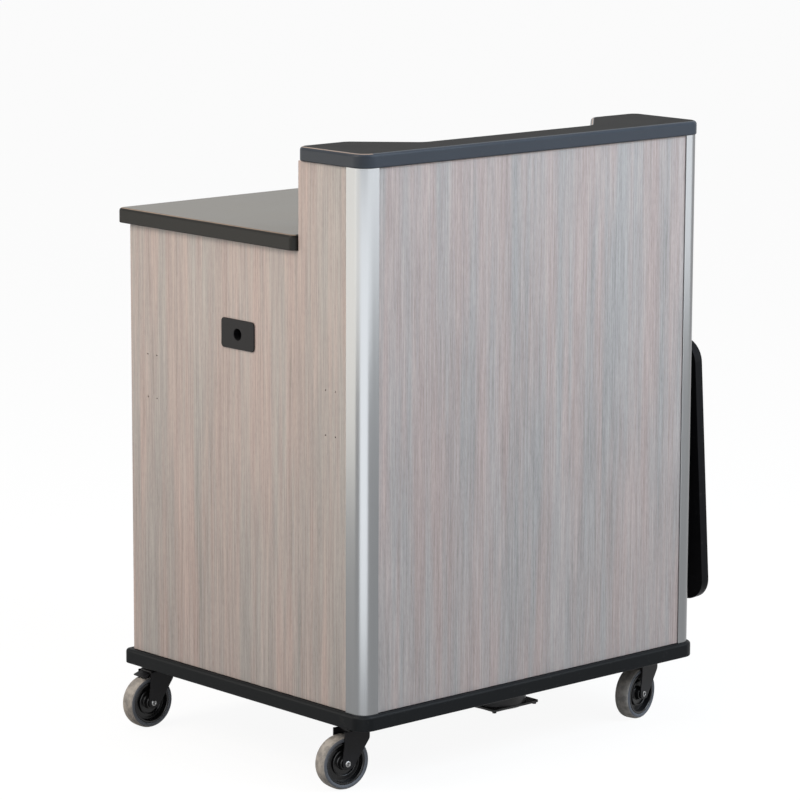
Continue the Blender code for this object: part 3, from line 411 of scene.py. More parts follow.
def edged_board(name, outline, low, high, *tools, edging=edging_round):
    """Board with a rounded edging, cut by tools. Marks its edging, and its top rim on the -X side for a
    painted highlight line.
    """
    board = plate(name, outline, low, high)
    shares = board.data.attributes.new("bevel_weight_edge", "FLOAT", "EDGE")
    for rim in board.data.edges:
        above = [board.data.vertices[index].co.z > (low + high) / 2 for index in rim.vertices]
        shares.data[rim.index].value = 1.0 if all(above) else 0.0 if any(above) else edging_under_share
    bevel = board.modifiers.new("edging", "BEVEL")
    bevel.width = edging
    bevel.segments = edging_steps
    bevel.limit_method = "WEIGHT"
    board = shaded(cut(settled(board), *tools))
    marked(board, "edging", lambda face: abs(face.normal.z) < flat_facing)
    lowest, highest = line_facing
    return marked(board, "line", lambda face: (
        lowest < face.normal.z < highest and face.normal.x < highlight_side_facing))


def black_laminate(name, gloss, face_sheen, rim_sheen, face_tone, rim_tone, line=0.0, coat=0.0):
    """Black laminate: a fine pebble, smoother edging, a brown rim line that is part core line and part
    painted highlight, clouds and scuffs.
    """
    finish = Finish(name, face_sheen, gloss=gloss)
    finish.put("Coat Roughness", face_sheen)
    edging = finish.mark("edging")
    finish.put("Coat Weight", (1 - edging) * coat)
    cloud = finish.noise(9.0, 4.0)
    scuff = finish.noise(70.0, 5.0, 0.7, (1, 0.3, 1)).ramp(0.60, 0.78)
    face = finish.clouded(cloud, face_tone, 0.25)
    rim = finish.clouded(cloud, rim_tone, 0.15)
    colour = finish.mixed(scuff * 0.10, finish.mixed(edging, face, rim), (0.20, 0.19, 0.18))
    # Painted highlight: the warm brown line on the -X side of the top rim is partly core line and partly
    # painted warm light.
    finish.put("Base Color", finish.mixed(finish.mark("line") * line, colour, (0.36, 0.26, 0.19)))
    sheen = edging * (rim_sheen - face_sheen) + cloud * 0.10 + (face_sheen - 0.05) + scuff * 0.12
    finish.put("Roughness", sheen)
    finish.bump(finish.noise(1300.0, 2.0) * (1 - edging * 0.85), 0.0002, 0.35)
    return finish.material


def middle(node):
    """Centre of a node's box."""
    low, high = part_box(node)
    return (low + high) / 2


base_low, base_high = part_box("base_board")
fan_centre = middle("fan_frame")
outline = rounded([
    (base_low.x, base_low.y, base_front_corner), (base_high.x, base_low.y, base_front_corner),
    (base_high.x, base_high.y, base_rear_corner), (base_low.x, base_high.y, base_rear_corner)])
air_hole = circle(fan_hole_radius, x=fan_centre.x, y=fan_centre.y)
air_hole = plate("air_hole", air_hole, base_low.z - cut_overrun, base_high.z + cut_overrun)
base = edged_board("base_board_faced", outline, base_low.z, base_high.z, air_hole)
base_finish = black_laminate(
    "base board laminate", gloss=0.08, face_sheen=0.55, rim_sheen=0.42,
    face_tone=(0.008, 0.008, 0.009), rim_tone=(0.005, 0.006, 0.007))
hung(base, base_finish, "cabinet", "base_board", "base_board")

# The casters. Each has a pressed top plate bolted under the base board, a swivel race, a pressed
# fork, and a soft grey tyre on a moulded hub that turns on a hollow rivet.
wheel_radius = 0.051
wheel_width = 0.032
tyre_inner = 0.041
tyre_shoulder = 0.0065
shoulder_steps = 8
tread_step = 0.0008
tread_inset = 0.0005
tread_depth = 0.0030
bead_profile = ((0, -0.0030), (0, -0.0012), (0.0010, -0.0004), (0.0030, -0.0004), (0.0038, 0))
hub_bore = 0.0048
hub_gap = 0.0003
hub_sink = 0.0004
hub_boss_radius = 0.0125
hub_boss_half = 0.0168
hub_ring_radius = 0.0240
hub_boss_profile = ((-0.001, 0), (0, -0.001))
hub_foot_profile = ((0.0008, 0.0075), (0.0020, 0.0062))
hub_ring_profile = ((-0.0014, 0.0066), (-0.0008, 0.0100), (0, 0.0106), (0.0012, 0.0100), (0.0018, 0.0045))
hub_dish_profile = ((-0.0080, 0.0035), (-0.0055, 0.0042))
hub_rim_profile = ((-0.0042, -0.0008), (-0.0034, 0), (-0.0006, 0), (0, -0.0006))
rivet_radius = 0.0045
rivet_gap = 0.0002
rivet_head_radius = 0.0056
rivet_head_height = 0.0017
rivet_head_roll = 0.0012
rivet_hollow_radius = 0.0028
rivet_hollow_depth = 0.004
rivet_hollow_roll = 0.0007
rivet_roll_height = 0.0008
running_gap = 0.0003
cut_reach = 0.03
fork_inner = 0.0185
fork_sheet = 0.003
fork_crown = 0.109
fork_lead = 0.018
fork_tail = 0.036
fork_boss = 0.0105
fork_boss_flat = 0.0005
fork_heel_round = 0.006
fork_shoulder = 0.094
fork_shoulder_round = 0.011
fork_steps = 8
race_radius = 0.0235
race_level = 0.1172
race_sink = 0.0005
race_foot = 0.004
race_neck_profile = ((-0.001, 0), (0, 0.002))
race_lip_profile = ((0, -0.0008), (-0.0008, 0))
cover_top_profile = ((-0.003, 0.001), (0.0005, -0.001))
cover_lip_profile = ((0.0005, 0.001), (-0.0003, 0))
plate_low = 0.1237
plate_high = 0.1267
plate_half_length = 0.046
plate_half_width = 0.030
plate_corner = 0.008
bolt_inset = 0.009
bolt_radius = 0.005
bolt_height = 0.0025
bolt_socket = 0.0025
socket_depth = 0.0015
kingpin_radius = 0.005
kingpin_head_radius = 0.008
kingpin_head_profile = ((0, 0), (0, -0.0013), (-0.001, -0.002))
pedal_pivot = Vector((0.029, 0, 0.1105))
pedal_turns = {"rear_left": 0.0, "rear_right": -14.0}
pedal_half_width = 0.017
pedal_sheet = 0.0025
pedal_reach = 0.022
pedal_slope = 19.0
pedal_barrel_radius = 0.0042
pedal_room = 0.0046
pedal_round = 0.0006
shoe_setback = 0.007
shoe_half_length = 0.0035
shoe_depth = 0.007
shoe_inset = 0.0025
small_round = 0.0008

wheel_trail = (middle("caster_front_left_tyre") - middle("caster_front_left_plate")).xy.length


def turned(name, profile, steps=96, ring=False):
    """Piece turned about Z from a profile of (radius, z) points. A ring's profile is closed."""
    shape = bmesh.new()
    loops = []
    for radius, z in profile:
        count = 1 if radius == 0 else steps
        loops.append([shape.verts.new((x, y, z)) for x, y in circle(radius, count)])
    pairs = list(zip(loops, loops[1:] + loops[:1]))
    for first, second in pairs if ring else pairs[:-1]:
        for step in range(steps):
            corners = [first[step % len(first)], first[(step + 1) % len(first)],
                       second[(step + 1) % len(second)], second[step % len(second)]]
            corners = list(dict.fromkeys(corners))
            if len(corners) > 2:
                shape.faces.new(corners)
    return from_shape(name, shape)


def stepped(profile, radius, z=0):
    """A profile of (outward, upward) steps as points from one place."""
    return [(radius + out, z + up) for out, up in profile]


def both_sides(side):
    """A closed profile from one side's points and their mirror."""
    return side + [(radius, -z) for radius, z in reversed(side)]


def spot(where):
    """Translation to a place."""
    return Matrix.Translation(where)


class Tree(Recipe):
    """A Geometry Nodes tree in the making, with its named sizes as inputs."""

    kinds = {float: "NodeSocketFloat", int: "NodeSocketInt", tuple: "NodeSocketVector"}

    def __init__(self, name, **sizes):
        super().__init__(bpy.data.node_groups.new(name, "GeometryNodeTree"))
        self.sizes = sizes
        geometry = {"Geometry": "NodeSocketGeometry"}
        inputs = {size: self.kinds[type(value)] for size, value in sizes.items()}
        inputs = {**geometry, **inputs, "finish": "NodeSocketMaterial"}
        self.sockets = self.opened("INPUT", inputs)
        self.opened("OUTPUT", geometry)
        self.start = self.tree.nodes.new("NodeGroupInput")

    def opened(self, way, kinds):
        """New sockets of the tree itself, by name."""
        face = self.tree.interface
        return {name: face.new_socket(name, in_out=way, socket_type=kind) for name, kind in kinds.items()}

    def __getitem__(self, name):
        """One of the tree's inputs."""
        return Value(self, self.start.outputs[name])

    def repeats(self, count, offset=(0.0, 0.0, 0.0)):
        """Points to repeat a piece on, as many as an input says."""
        return self.node("GeometryNodeMeshLine", {"Count": self[count], "Offset": offset})

    def cylinder(self, sides, radius, height):
        """Upright cylinder about the origin."""
        return self.node("GeometryNodeMeshCylinder", {"Vertices": sides, "Radius": radius, "Depth": height})

    def lifted(self, piece, height):
        """The piece moved up."""
        inputs = {"Geometry": piece, "Translation": self.vector(z=height)}
        return self.node("GeometryNodeTransform", inputs)

    def placed(self, points, piece, **how):
        """The piece on each point, turned or scaled."""
        return self.node("GeometryNodeInstanceOnPoints", {"Points": points, "Instance": piece, **how})

    def end(self, geometry):
        """Ends the tree in plain mesh with its material."""
        real = self.node("GeometryNodeRealizeInstances", {0: geometry})
        dressed = self.node("GeometryNodeSetMaterial", {"Geometry": real, "Material": self["finish"]})
        self.feed(self.tree.nodes.new("NodeGroupOutput").inputs[0], dressed)
        return self

    def grown(self, name, finish, points=((0, 0, 0),), **sizes):
        """A plain mesh from the tree, on some points and with some sizes of its own."""
        mesh = bpy.data.meshes.new(name)
        mesh.from_pydata(list(points), [], [])
        piece = workpiece(name, mesh)
        grow = piece.modifiers.new("grow", "NODES")
        grow.node_group = self.tree
        for size, value in {**self.sizes, **sizes, "finish": finish}.items():
            grow[self.sockets[size].identifier] = value
        return settled(piece)


def fastener_tree():
    """Round heads with a hexagon socket, one on each point, head down."""
    tree = Tree("fastener heads", radius=bolt_radius, height=bolt_height, socket=bolt_socket,
                depth=socket_depth, tilt=(math.pi, 0.0, 0.0))
    head = tree.cylinder(24, tree["radius"], tree["height"])
    head = tree.lifted(head, tree["height"] * 0.5)
    key = tree.cylinder(6, tree["socket"], tree["depth"] * 2.0)
    key = tree.lifted(key, tree["height"])
    inputs = {"Mesh 1": head, "Mesh 2": key}
    head = tree.node("GeometryNodeMeshBoolean", inputs, operation="DIFFERENCE")
    return tree.end(tree.placed(tree["Geometry"], head, Rotation=tree["tilt"]))


fasteners = fastener_tree()


def plain_finish(name, sheen, tones, clouds, change, grain, relief, metallic=0.0, gloss=0.5):
    """One colour with clouds in its tone and sheen. Clouds and grain are noises, as (scale, detail)."""
    finish = Finish(name, sheen, metallic, gloss)
    cloud = finish.noise(*clouds)
    finish.put("Base Color", finish.mixed(cloud, *tones))
    finish.put("Roughness", cloud * change + (sheen - change / 2))
    finish.bump(finish.noise(*grain), *relief)
    return finish.material


def black_steel(name, sheen):
    """Black powder-coated steel with a faint orange peel."""
    return plain_finish(
        name, sheen, tones=((0.006, 0.006, 0.007), (0.013, 0.013, 0.015)), clouds=(40.0, 4.0),
        change=0.16, grain=(900.0, 1.0), relief=(0.0002, 0.25), gloss=0.15)


def bright_steel(name, sheen, tone=0.5):
    """Zinc-plated steel, a little clouded."""
    return plain_finish(
        name, sheen, tones=((tone * 0.8,) * 3, (tone * 1.2,) * 3), clouds=(120.0, 3.0),
        change=0.16, grain=(2500.0, 1.0), relief=(0.0001, 0.15), metallic=1.0)


def grey_rubber():
    """Grey tyre rubber: bluish sides, and a pale beige tread that is partly floor dust and partly painted
    warm light, with small chips.
    """
    finish = Finish("grey tyre rubber", 0.62)
    tread = finish.mark("tread")
    cloud = finish.noise(60.0, 5.0, 0.6)
    chips = finish.noise(260.0).ramp(0.66, 0.72)
    side = finish.mixed(cloud, (0.050, 0.058, 0.072), (0.085, 0.095, 0.115))
    # Painted warm light: the beige of the tread is partly floor dust and partly warm light painted into the
    # colour.
    tread_dust_and_warm_light = finish.mixed(cloud.ramp(0.35, 0.68), (0.20, 0.19, 0.18), (0.38, 0.355, 0.325))
    colour = finish.mixed(tread, side, tread_dust_and_warm_light)
    finish.put("Base Color", finish.mixed(chips * 0.45, colour, (0.10, 0.10, 0.10)))
    finish.put("Roughness", tread * 0.25 + cloud * 0.12 + 0.52)
    finish.bump(finish.noise(500.0, 4.0) * 0.6 - chips, 0.0003, 0.6)
    return finish.material


def moulded_black(name, sheen, gloss=0.3):
    """Moulded black plastic with a fine grain."""
    return plain_finish(
        name, sheen, tones=((0.006, 0.006, 0.007), (0.013, 0.013, 0.014)), clouds=(30.0, 3.0),
        change=0.12, grain=(1600.0, 2.0), relief=(0.0001, 0.3), gloss=gloss)


tyre_rubber = grey_rubber()
hub_plastic = moulded_black("hub plastic", 0.28, 0.3)
caster_steel = black_steel("caster steel", 0.40)
rivet_steel = bright_steel("rivet steel", 0.3, 0.22)
bolt_steel = black_steel("bolt steel", 0.35)


def tyre_piece(name):
    """Tyre about Z: round shoulders, a slightly proud tread, a bead line on each side."""
    half = wheel_width / 2
    shoulder = []
    for step in range(shoulder_steps + 1):
        turn = math.pi / 2 * (1 - step / shoulder_steps)
        shoulder.append((
            wheel_radius - tyre_shoulder + (tyre_shoulder - tread_step) * math.cos(turn),
            half - tyre_shoulder + tyre_shoulder * math.sin(turn)))
    tread_edge = half - tyre_shoulder - tread_inset
    tread = [(wheel_radius - tread_step / 3, tread_edge), (wheel_radius, tread_edge / 3)]
    side = stepped(bead_profile, tyre_inner, half) + shoulder + tread
    tyre = shaded(turned(name, both_sides(side), 128, ring=True), 50)
    tread_start = wheel_radius - tread_depth
    return marked(tyre, "tread", lambda face: math.hypot(face.center.x, face.center.y) > tread_start)


def hub_piece(name):
    """Hub about Z: a rim, a dished web with a raised ring, and a long boss."""
    outer = tyre_inner - hub_gap
    half = wheel_width / 2 - hub_sink
    side = [
        (hub_bore, hub_boss_half), *stepped(hub_boss_profile, hub_boss_radius, hub_boss_half),
        *stepped(hub_foot_profile, hub_boss_radius), *stepped(hub_ring_profile, hub_ring_radius),
        *stepped(hub_dish_profile, outer), *stepped(hub_rim_profile, outer, half)]
    return shaded(turned(name, both_sides(side), 128, ring=True), 34)


def rivet_piece(name):
    """Hollow rivet about Z, its ends rolled over the fork's legs."""
    end = fork_inner + fork_sheet + rivet_gap
    tip = end + rivet_head_height
    floor, roll = tip - rivet_hollow_depth, tip - rivet_roll_height
    side = [(0, floor), (rivet_hollow_radius, floor), (rivet_hollow_radius, roll),
            (rivet_hollow_radius + rivet_hollow_roll, tip), (rivet_head_radius - rivet_head_roll, tip),
            (rivet_head_radius, roll), (rivet_head_radius, end), (rivet_radius, end)]
    return shaded(turned(name, both_sides(side), 48), 34)


def fork_piece(name):
    """Pressed fork: two legs that narrow to a boss, a crown and the lower race."""
    top = fork_crown + fork_sheet
    boss_round = fork_boss - fork_boss_flat
    leg = rounded([
        (-fork_lead, top, 0), (-fork_lead, fork_shoulder, fork_shoulder_round),
        (wheel_trail - fork_boss, wheel_radius - fork_boss, boss_round),
        (wheel_trail + fork_boss, wheel_radius - fork_boss, boss_round),
        (wheel_trail + fork_boss, wheel_radius + fork_boss, fork_heel_round),
        (fork_tail, fork_shoulder, fork_shoulder_round), (fork_tail, top, 0)], fork_steps)
    outer = fork_inner + fork_sheet
    inset = fork_sheet / 4
    crown_tail = pedal_pivot.x - pedal_room
    crown = rounded(rectangle(inset - fork_lead, inset - outer, crown_tail, outer - inset))
    pieces = [softened(plate(name, crown, fork_crown, top + inset), small_round)]
    for low in (-outer, fork_inner):
        hole = circle(rivet_radius + running_gap, 32, wheel_trail, wheel_radius)
        hole = plate("hole", hole, -cut_reach, cut_reach, "XZ")
        pieces.append(softened(cut(plate("leg", leg, low, low + fork_sheet, "XZ"), hole), small_round))
    fork = joined(*pieces)
    bore, foot = kingpin_radius + running_gap, fork_crown + race_sink
    race = turned("race", [
        (bore, foot), (race_radius - race_foot, foot), *stepped(race_neck_profile, race_radius, top),
        *stepped(race_lip_profile, race_radius, race_level), (bore, race_level)], 64, ring=True)
    return shaded(joined(fork, race), 34)


def plate_piece(name):
    """Top plate with the upper race and the kingpin."""
    length, width = plate_half_length, plate_half_width
    edge = rounded(rectangle(-length, -width, length, width, plate_corner))
    top = softened(plate(name, edge, plate_low, plate_high), small_round)
    low = race_level + running_gap
    cover = stepped(cover_top_profile, race_radius, plate_low)
    cover += stepped(cover_lip_profile, race_radius, low)
    head = stepped(kingpin_head_profile, kingpin_head_radius, fork_crown - running_gap)
    race = turned("race", [
        (0, cover[0][1]), *cover, (kingpin_radius, low), (kingpin_radius, head[0][1]), *head,
        (0, head[-1][1])], 64)
    return shaded(joined(top, race), 34)


def pedal_piece(name):
    """Brake pedal about its pivot, drawn pressed: barrel, bent tread plate and the shoe for the tyre."""
    slope = math.radians(-pedal_slope)
    along = Vector((math.cos(slope), math.sin(slope)))
    across = Vector((-math.sin(slope), math.cos(slope)))
    half = pedal_sheet / 2
    tip = along * pedal_reach
    points = [across * half, across * -half, tip - across * half, tip + across * half]
    tread = plate(name, [tuple(point) for point in points], -pedal_half_width, pedal_half_width, "XZ")
    barrel = circle(pedal_barrel_radius, 24)
    barrel = plate("barrel", barrel, -pedal_half_width, pedal_half_width, "XZ")
    shoe_place = along * (pedal_reach - shoe_setback)
    block = [tuple(shoe_place + along * side * shoe_half_length + across * drop)
             for side, drop in ((-1, 0), (-1, -shoe_depth), (1, -shoe_depth), (1, 0))]
    shoe = plate("shoe", block, shoe_inset - pedal_half_width, pedal_half_width - shoe_inset, "XZ")
    axle_x, axle_z = wheel_trail - pedal_pivot.x, wheel_radius - pedal_pivot.z
    room = circle(wheel_radius + running_gap, 96, axle_x, axle_z)
    shoe = cut(shoe, plate("room", room, -cut_reach, cut_reach, "XZ"))
    return shaded(softened(joined(tread, barrel, shoe), pedal_round), 40)


for corner in ("front_left", "front_right", "rear_left", "rear_right"):
    caster = f"caster_{corner}"
    swivel, wheel = middle(f"{caster}_plate"), middle(f"{caster}_tyre")
    swivel.z = 0
    heading = math.atan2(wheel.y - swivel.y, wheel.x - swivel.x)
    swivelled = spot(swivel) @ Matrix.Rotation(heading, 4, "Z")
    axled = swivelled @ spot((wheel_trail, 0, wheel_radius)) @ Matrix.Rotation(math.pi / 2, 4, "X")
    pieces = (
        ("tyre", tyre_piece, axled, tyre_rubber, f"{caster}_wheel"),
        ("hub", hub_piece, axled, hub_plastic, f"{caster}_wheel"),
        ("axle", rivet_piece, axled, rivet_steel, f"{caster}_swivel"),
        ("fork", fork_piece, swivelled, caster_steel, f"{caster}_swivel"),
        ("plate", plate_piece, spot(swivel), caster_steel, "cabinet"),
    )
    for kind, maker, matrix, finish, body in pieces:
        node = f"{caster}_{kind}"
        hung(moved(maker(f"{node}_fine"), matrix), finish, body, node, node)
    if corner in pedal_turns:
        node = f"{caster}_pedal"
        placed = swivelled @ spot(pedal_pivot) @ Matrix.Rotation(math.radians(pedal_turns[corner]), 4, "Y")
        hung(moved(pedal_piece(f"{node}_fine"), placed), caster_steel, node, node, node)
    bolts = four_places(plate_half_length - bolt_inset, plate_half_width - bolt_inset)
    heads = fasteners.grown(f"{caster}_bolts", bolt_steel, bolts)
    moved(heads, spot((swivel.x, swivel.y, plate_low)))
    hung(shaded(heads, 30), bolt_steel, "cabinet", f"{caster}_plate")

# The fan. A square black axial fan hangs under the air hole: a moulded frame, a seven-bladed
# rotor, and a plated wire guard held by a screw in each corner.
fan_half = 0.0595
fan_corner = 0.006
fan_flange = 0.004
fan_barrel = 0.0583
fan_bore = 0.055
fan_screw_pitch = 0.105
fan_screw_hole = 0.0022
fan_motor_radius = 0.030
fan_shaft_radius = 0.003
fan_round = 0.0005
strut_width = 0.007
strut_height = 0.005
window_rim = 0.001
window_steps = 8
rotor_radius = 0.029
rotor_height = 0.025
rotor_gap = 0.0006
rotor_round_profile = ((-0.002, 0), (-0.0006, -0.0006), (0, -0.002))
guard_wire = 0.0009
guard_inner = 0.013
guard_outer = 0.052
guard_gap = 0.0003
screw_radius = 0.004
screw_height = 0.0034
screw_socket = 0.002

fan_low, fan_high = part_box("fan_frame")
screw_places = four_places(fan_screw_pitch / 2, fan_screw_pitch / 2)


def fan_frame_piece():
    """Frame about the fan's axis, its underside at the origin."""
    high = fan_high.z - fan_low.z
    square = rounded(rectangle(-fan_half, -fan_half, fan_half, fan_half, fan_corner), 6)
    flanges = [plate("flange", square, low, low + fan_flange) for low in (0, high - fan_flange)]
    body = plate("fan_frame_fine", circle(fan_barrel), fan_flange / 2, high - fan_flange / 2)
    body = cut(joined(body, *flanges), plate("bore", circle(fan_bore), strut_height, high + cut_overrun))
    tools = [plate("screw_hole", circle(fan_screw_hole, 16, x, y), -cut_overrun, high + cut_overrun)
             for x, y, z in screw_places]
    for index in range(4):
        window = []
        for radius, side in ((fan_bore - window_rim, 1), (fan_motor_radius, -1)):
            half = math.pi / 4 - math.asin(strut_width / 2 / radius)
            for step in range(window_steps + 1):
                turn = math.pi / 2 * index + side * half * (2 * step / window_steps - 1)
                window.append((radius * math.cos(turn), radius * math.sin(turn)))
        tools.append(plate("window", window, -cut_overrun, strut_height + cut_overrun))
    return shaded(softened(cut(body, *tools), fan_round), 35)


def blade_tree():
    """Swept blades: a strip bent into a helix, given a thickness and repeated about Z."""
    tree = Tree("fan blades", blades=7, root=0.0275, tip=0.0525, wrap=0.72, rise=0.019, sheet=0.0016)
    strip = {"Size X": 1.0, "Size Y": 1.0, "Vertices X": 12, "Vertices Y": 5}
    strip = tree.node("GeometryNodeMeshGrid", strip)
    where = tree.node("ShaderNodeSeparateXYZ", {0: tree.node("GeometryNodeInputPosition")})
    share, side = where, Value(tree, where.socket.node.outputs[1])
    radius = (side + 0.5) * (tree["tip"] - tree["root"]) + tree["root"]
    turn = share * tree["wrap"]
    across, along = radius * turn.maths("COSINE"), radius * turn.maths("SINE")
    bent = tree.vector(across, along, share * tree["rise"])
    strip = tree.node("GeometryNodeSetPosition", {"Geometry": strip, "Position": bent})
    front = tree.node("GeometryNodeExtrudeMesh", {
        "Mesh": strip, "Offset Scale": tree["sheet"], "Individual": False})
    back = tree.node("GeometryNodeFlipFaces", {0: strip})
    blade = tree.node("GeometryNodeJoinGeometry", {0: back})
    tree.feed(blade.socket.node.inputs[0], front)
    blade = tree.node("GeometryNodeMergeByDistance", {"Geometry": blade, "Distance": 0.00001})
    spin = (tree.node("GeometryNodeInputIndex") * (2 * math.pi)).maths("DIVIDE", tree["blades"])
    return tree.end(tree.placed(tree.repeats("blades"), blade, Rotation=tree.vector(z=spin)))


def guard_tree():
    """Concentric wire rings."""
    tree = Tree("guard rings", rings=4, inner=guard_inner, outer=guard_outer, wire=guard_wire)
    pitch = (tree["outer"] - tree["inner"]).maths("DIVIDE", tree["rings"] - 1.0)
    radius = tree.node("GeometryNodeInputIndex") * pitch + tree["inner"]
    ring = tree.node("GeometryNodeCurvePrimitiveCircle", {"Resolution": 72, "Radius": 1.0})
    rings = tree.placed(tree.repeats("rings"), ring, Scale=tree.vector(radius, radius, 1.0))
    rings = tree.node("GeometryNodeRealizeInstances", {0: rings})
    section = tree.node("GeometryNodeCurvePrimitiveCircle", {"Resolution": 8, "Radius": tree["wire"]})
    return tree.end(tree.node("GeometryNodeCurveToMesh", {"Curve": rings, "Profile Curve": section}))


def rod(name, route, radius, steps):
    """Round rod along a route of points, its ends closed."""
    curve = bpy.data.curves.new(name, "CURVE")
    curve.dimensions = "3D"
    curve.bevel_depth = radius
    curve.bevel_resolution = steps
    curve.use_fill_caps = True
    spline = curve.splines.new("POLY")
    spline.points.add(len(route) - 1)
    for point, where in zip(spline.points, route):
        point.co = (*where, 1)
    return settled(workpiece(name, curve))


fan_floor = Vector((fan_centre.x, fan_centre.y, fan_low.z))
fan_plastic = moulded_black("fan plastic", 0.42)
guard_steel = bright_steel("guard steel", 0.30)
hung(moved(fan_frame_piece(), spot(fan_floor)), fan_plastic, "cabinet", "fan_frame", "fan_frame")

rotor_low = strut_height + rotor_gap
rotor_high = rotor_low + rotor_height
rotor = turned("fan_rotor_fine", [
    (0, rotor_high), *stepped(rotor_round_profile, rotor_radius, rotor_high), (rotor_radius, rotor_low),
    (fan_shaft_radius, rotor_low), (fan_shaft_radius, 0), (0, 0)])
hung(moved(shaded(rotor, 34), spot(fan_floor)), fan_plastic, "fan_rotor", "fan_rotor", "fan_rotor")
blades = blade_tree().grown("fan_blades", fan_plastic)
moved(blades, spot(fan_floor + Vector((0, 0, (rotor_low + rotor_high) / 2))))
hung(shaded(blades, 40), fan_plastic, "fan_rotor", "fan_rotor")

guard_level = -guard_gap - 3 * guard_wire
rings = shaded(guard_tree().grown("fan_guard_rings", guard_steel), 60)
moved(rings, spot(fan_floor + Vector((0, 0, guard_level))))
hung(rings, guard_steel, "cabinet", "fan_guard", "fan_guard")
for index, (x, y, z) in enumerate(screw_places):
    start = Vector((x, y, 0)).normalized() * guard_inner
    level = guard_level + guard_wire
    leg = rod(f"fan_guard_leg_{index}", [(start.x, start.y, level), (x, y, level)], guard_wire, 3)
    hung(shaded(moved(leg, spot(fan_floor)), 60), guard_steel, "cabinet", "fan_guard")
screws = fasteners.grown("fan_guard_screws", bolt_steel, screw_places,
                         radius=screw_radius, height=screw_height, socket=screw_socket)
hung(shaded(moved(screws, spot(fan_floor)), 30), bolt_steel, "cabinet", "fan_guard")

# The laminate panels. Both sides, the audience panel, the riser panel and the doors are boards
# faced with a grey-brown wood print: fine upright fibres, some pinkish and some greenish grey.


def wood_laminate(warm=(0.377, 0.304, 0.284), cool=(0.323, 0.308, 0.300), sheen=0.46):
    """Printed wood laminate with an upright grain."""
    finish = Finish("wood laminate", sheen)
    hue = finish.noise(34.0, 2.0, 0.6, (1, 1, 0.04))
    bands = finish.noise(75.0, 3.0, 0.6, (1, 1, 0.020))
    fibres = finish.noise(330.0, 3.0, 0.7, (1, 1, 0.018))
    pores = finish.noise(900.0, 2.0, 0.6, (1, 1, 0.08))
    broad = finish.noise(22.0, 2.0, stretch=(1, 1, 0.03))
    tint = finish.mixed(hue.ramp(0.30, 0.70), cool, warm)
    light = fibres * 1.25 + pores * 0.75 + bands * 0.42 + broad * 0.32 - 0.37
    colour = finish.mixed(1.0, tint, finish.vector(light, light, light), "MULTIPLY")
    finish.put("Base Color", finish.mixed(pores.ramp(0.60, 0.72) * 0.30, colour, (0.17, 0.14, 0.13)))
    finish.put("Roughness", fibres * 0.14 + (sheen - 0.07))
    finish.bump(fibres * 0.6 + pores * 0.4, 0.0002, 0.22)
    return finish.material


def dress(finish, *nodes):
    """Gives the model's own pieces a finish."""
    for node in nodes:
        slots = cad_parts[node].data.materials
        for index in range(len(slots)):
            slots[index] = finish


grain = wood_laminate()
dress(grain, "side_panel_left", "side_panel_right", "front_panel", "riser_panel", "door_left", "door_right")

# The corner posts. Two rounded aluminium extrusions, satin anodised, grip the edges of the
# audience panel and of the side panels from the base board to the top cap. As the photograph
# shows, the leg on the audience panel is the narrower one.
post_side_leg = 0.044
post_front_leg = 0.0355
post_floor = 0.032
post_round = 0.022
post_steps = 32
post_proud = 0.003
post_web = 0.003
post_edge = 0.0005
board_thickness = 0.019
seat_gap = 0.0003


def post_lips(leg):
    """The two lips of one leg and the slot's floor between them, for a leg along the second axis."""
    wall = board_thickness + seat_gap
    return [
        (-post_proud, leg - post_edge), (-post_proud + post_edge, leg), (-seat_gap, leg),
        (-seat_gap, post_floor), (wall, post_floor), (wall, leg), (wall + post_web, leg),
        (wall + post_web, post_floor - post_web), (post_web - post_proud, post_floor - post_web)]


def post_section():
    """Section of a corner post about the cabinet's corner, with a slot for each panel."""
    hollow = post_web - post_proud
    inner, outer = [], []
    for step in range(post_steps + 1):
        turn = math.pi + math.pi / 2 * step / post_steps
        for side, reach in ((inner, post_round - hollow), (outer, post_round + post_proud)):
            side.append((post_round + reach * math.cos(turn), post_round + reach * math.sin(turn)))
    front_lips = [(y, x) for x, y in reversed(post_lips(post_front_leg))]
    return post_lips(post_side_leg) + inner + front_lips + outer[::-1]


def satin_aluminium():
    """Satin anodised aluminium with fine upright extrusion lines."""
    finish = Finish("satin aluminium", 0.25, 1.0)
    lines = finish.noise(1500.0, 2.0, stretch=(1, 1, 0.002))
    cloud = finish.noise(14.0, stretch=(1, 1, 0.2))
    colour = finish.mixed(lines * 0.5 + cloud * 0.5, (0.185, 0.19, 0.195), (0.24, 0.245, 0.25))
    finish.put("Base Color", colour)
    finish.put("Roughness", lines * 0.08 + cloud * 0.08 + 0.22)
    finish.bump(lines, 0.0001, 0.25)
    return finish.material


aluminium = satin_aluminium()
for name, side in (("corner_post_left", 1), ("corner_post_right", -1)):
    low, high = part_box(name)
    section = [(x + post_proud, y + post_proud) for x, y in post_section()]
    start = (low if side == 1 else high).x
    post = plate(f"{name}_fine", section, 0, high.z - low.z)
    post = moved(post, spot((start, low.y, low.z)) @ Matrix.Diagonal((side, 1, 1, 1)))
    hung(shaded(post, 30), aluminium, "cabinet", name, name)

# The worktop and the top cap. Two more black boards with the same soft edging: the worktop
# reaches under the raised part, and the cap has two wings and a slanted cut-out for the presenter.
worktop_corner = 0.012
worktop_overhang = 0.012
worktop_front = 0.0193
worktop_post_end = 0.0443
worktop_inner_half = 0.4107
worktop_step = 0.179
cap_front_corner = 0.030
cap_rear_corner = 0.020
cap_fillet = 0.030
cap_wing = 0.120
cap_middle_half = 0.215
cap_middle_depth = 0.080

middle_x, audience_y = middle("base_board").x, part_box("front_panel")[0].y


def both_halves(half):
    """A closed outline about the cabinet's middle from the corners of its right half."""
    corners = half + [(-x, y, radius) for x, y, radius in reversed(half)]
    return rounded([(x + middle_x, y + audience_y, radius) for x, y, radius in corners])


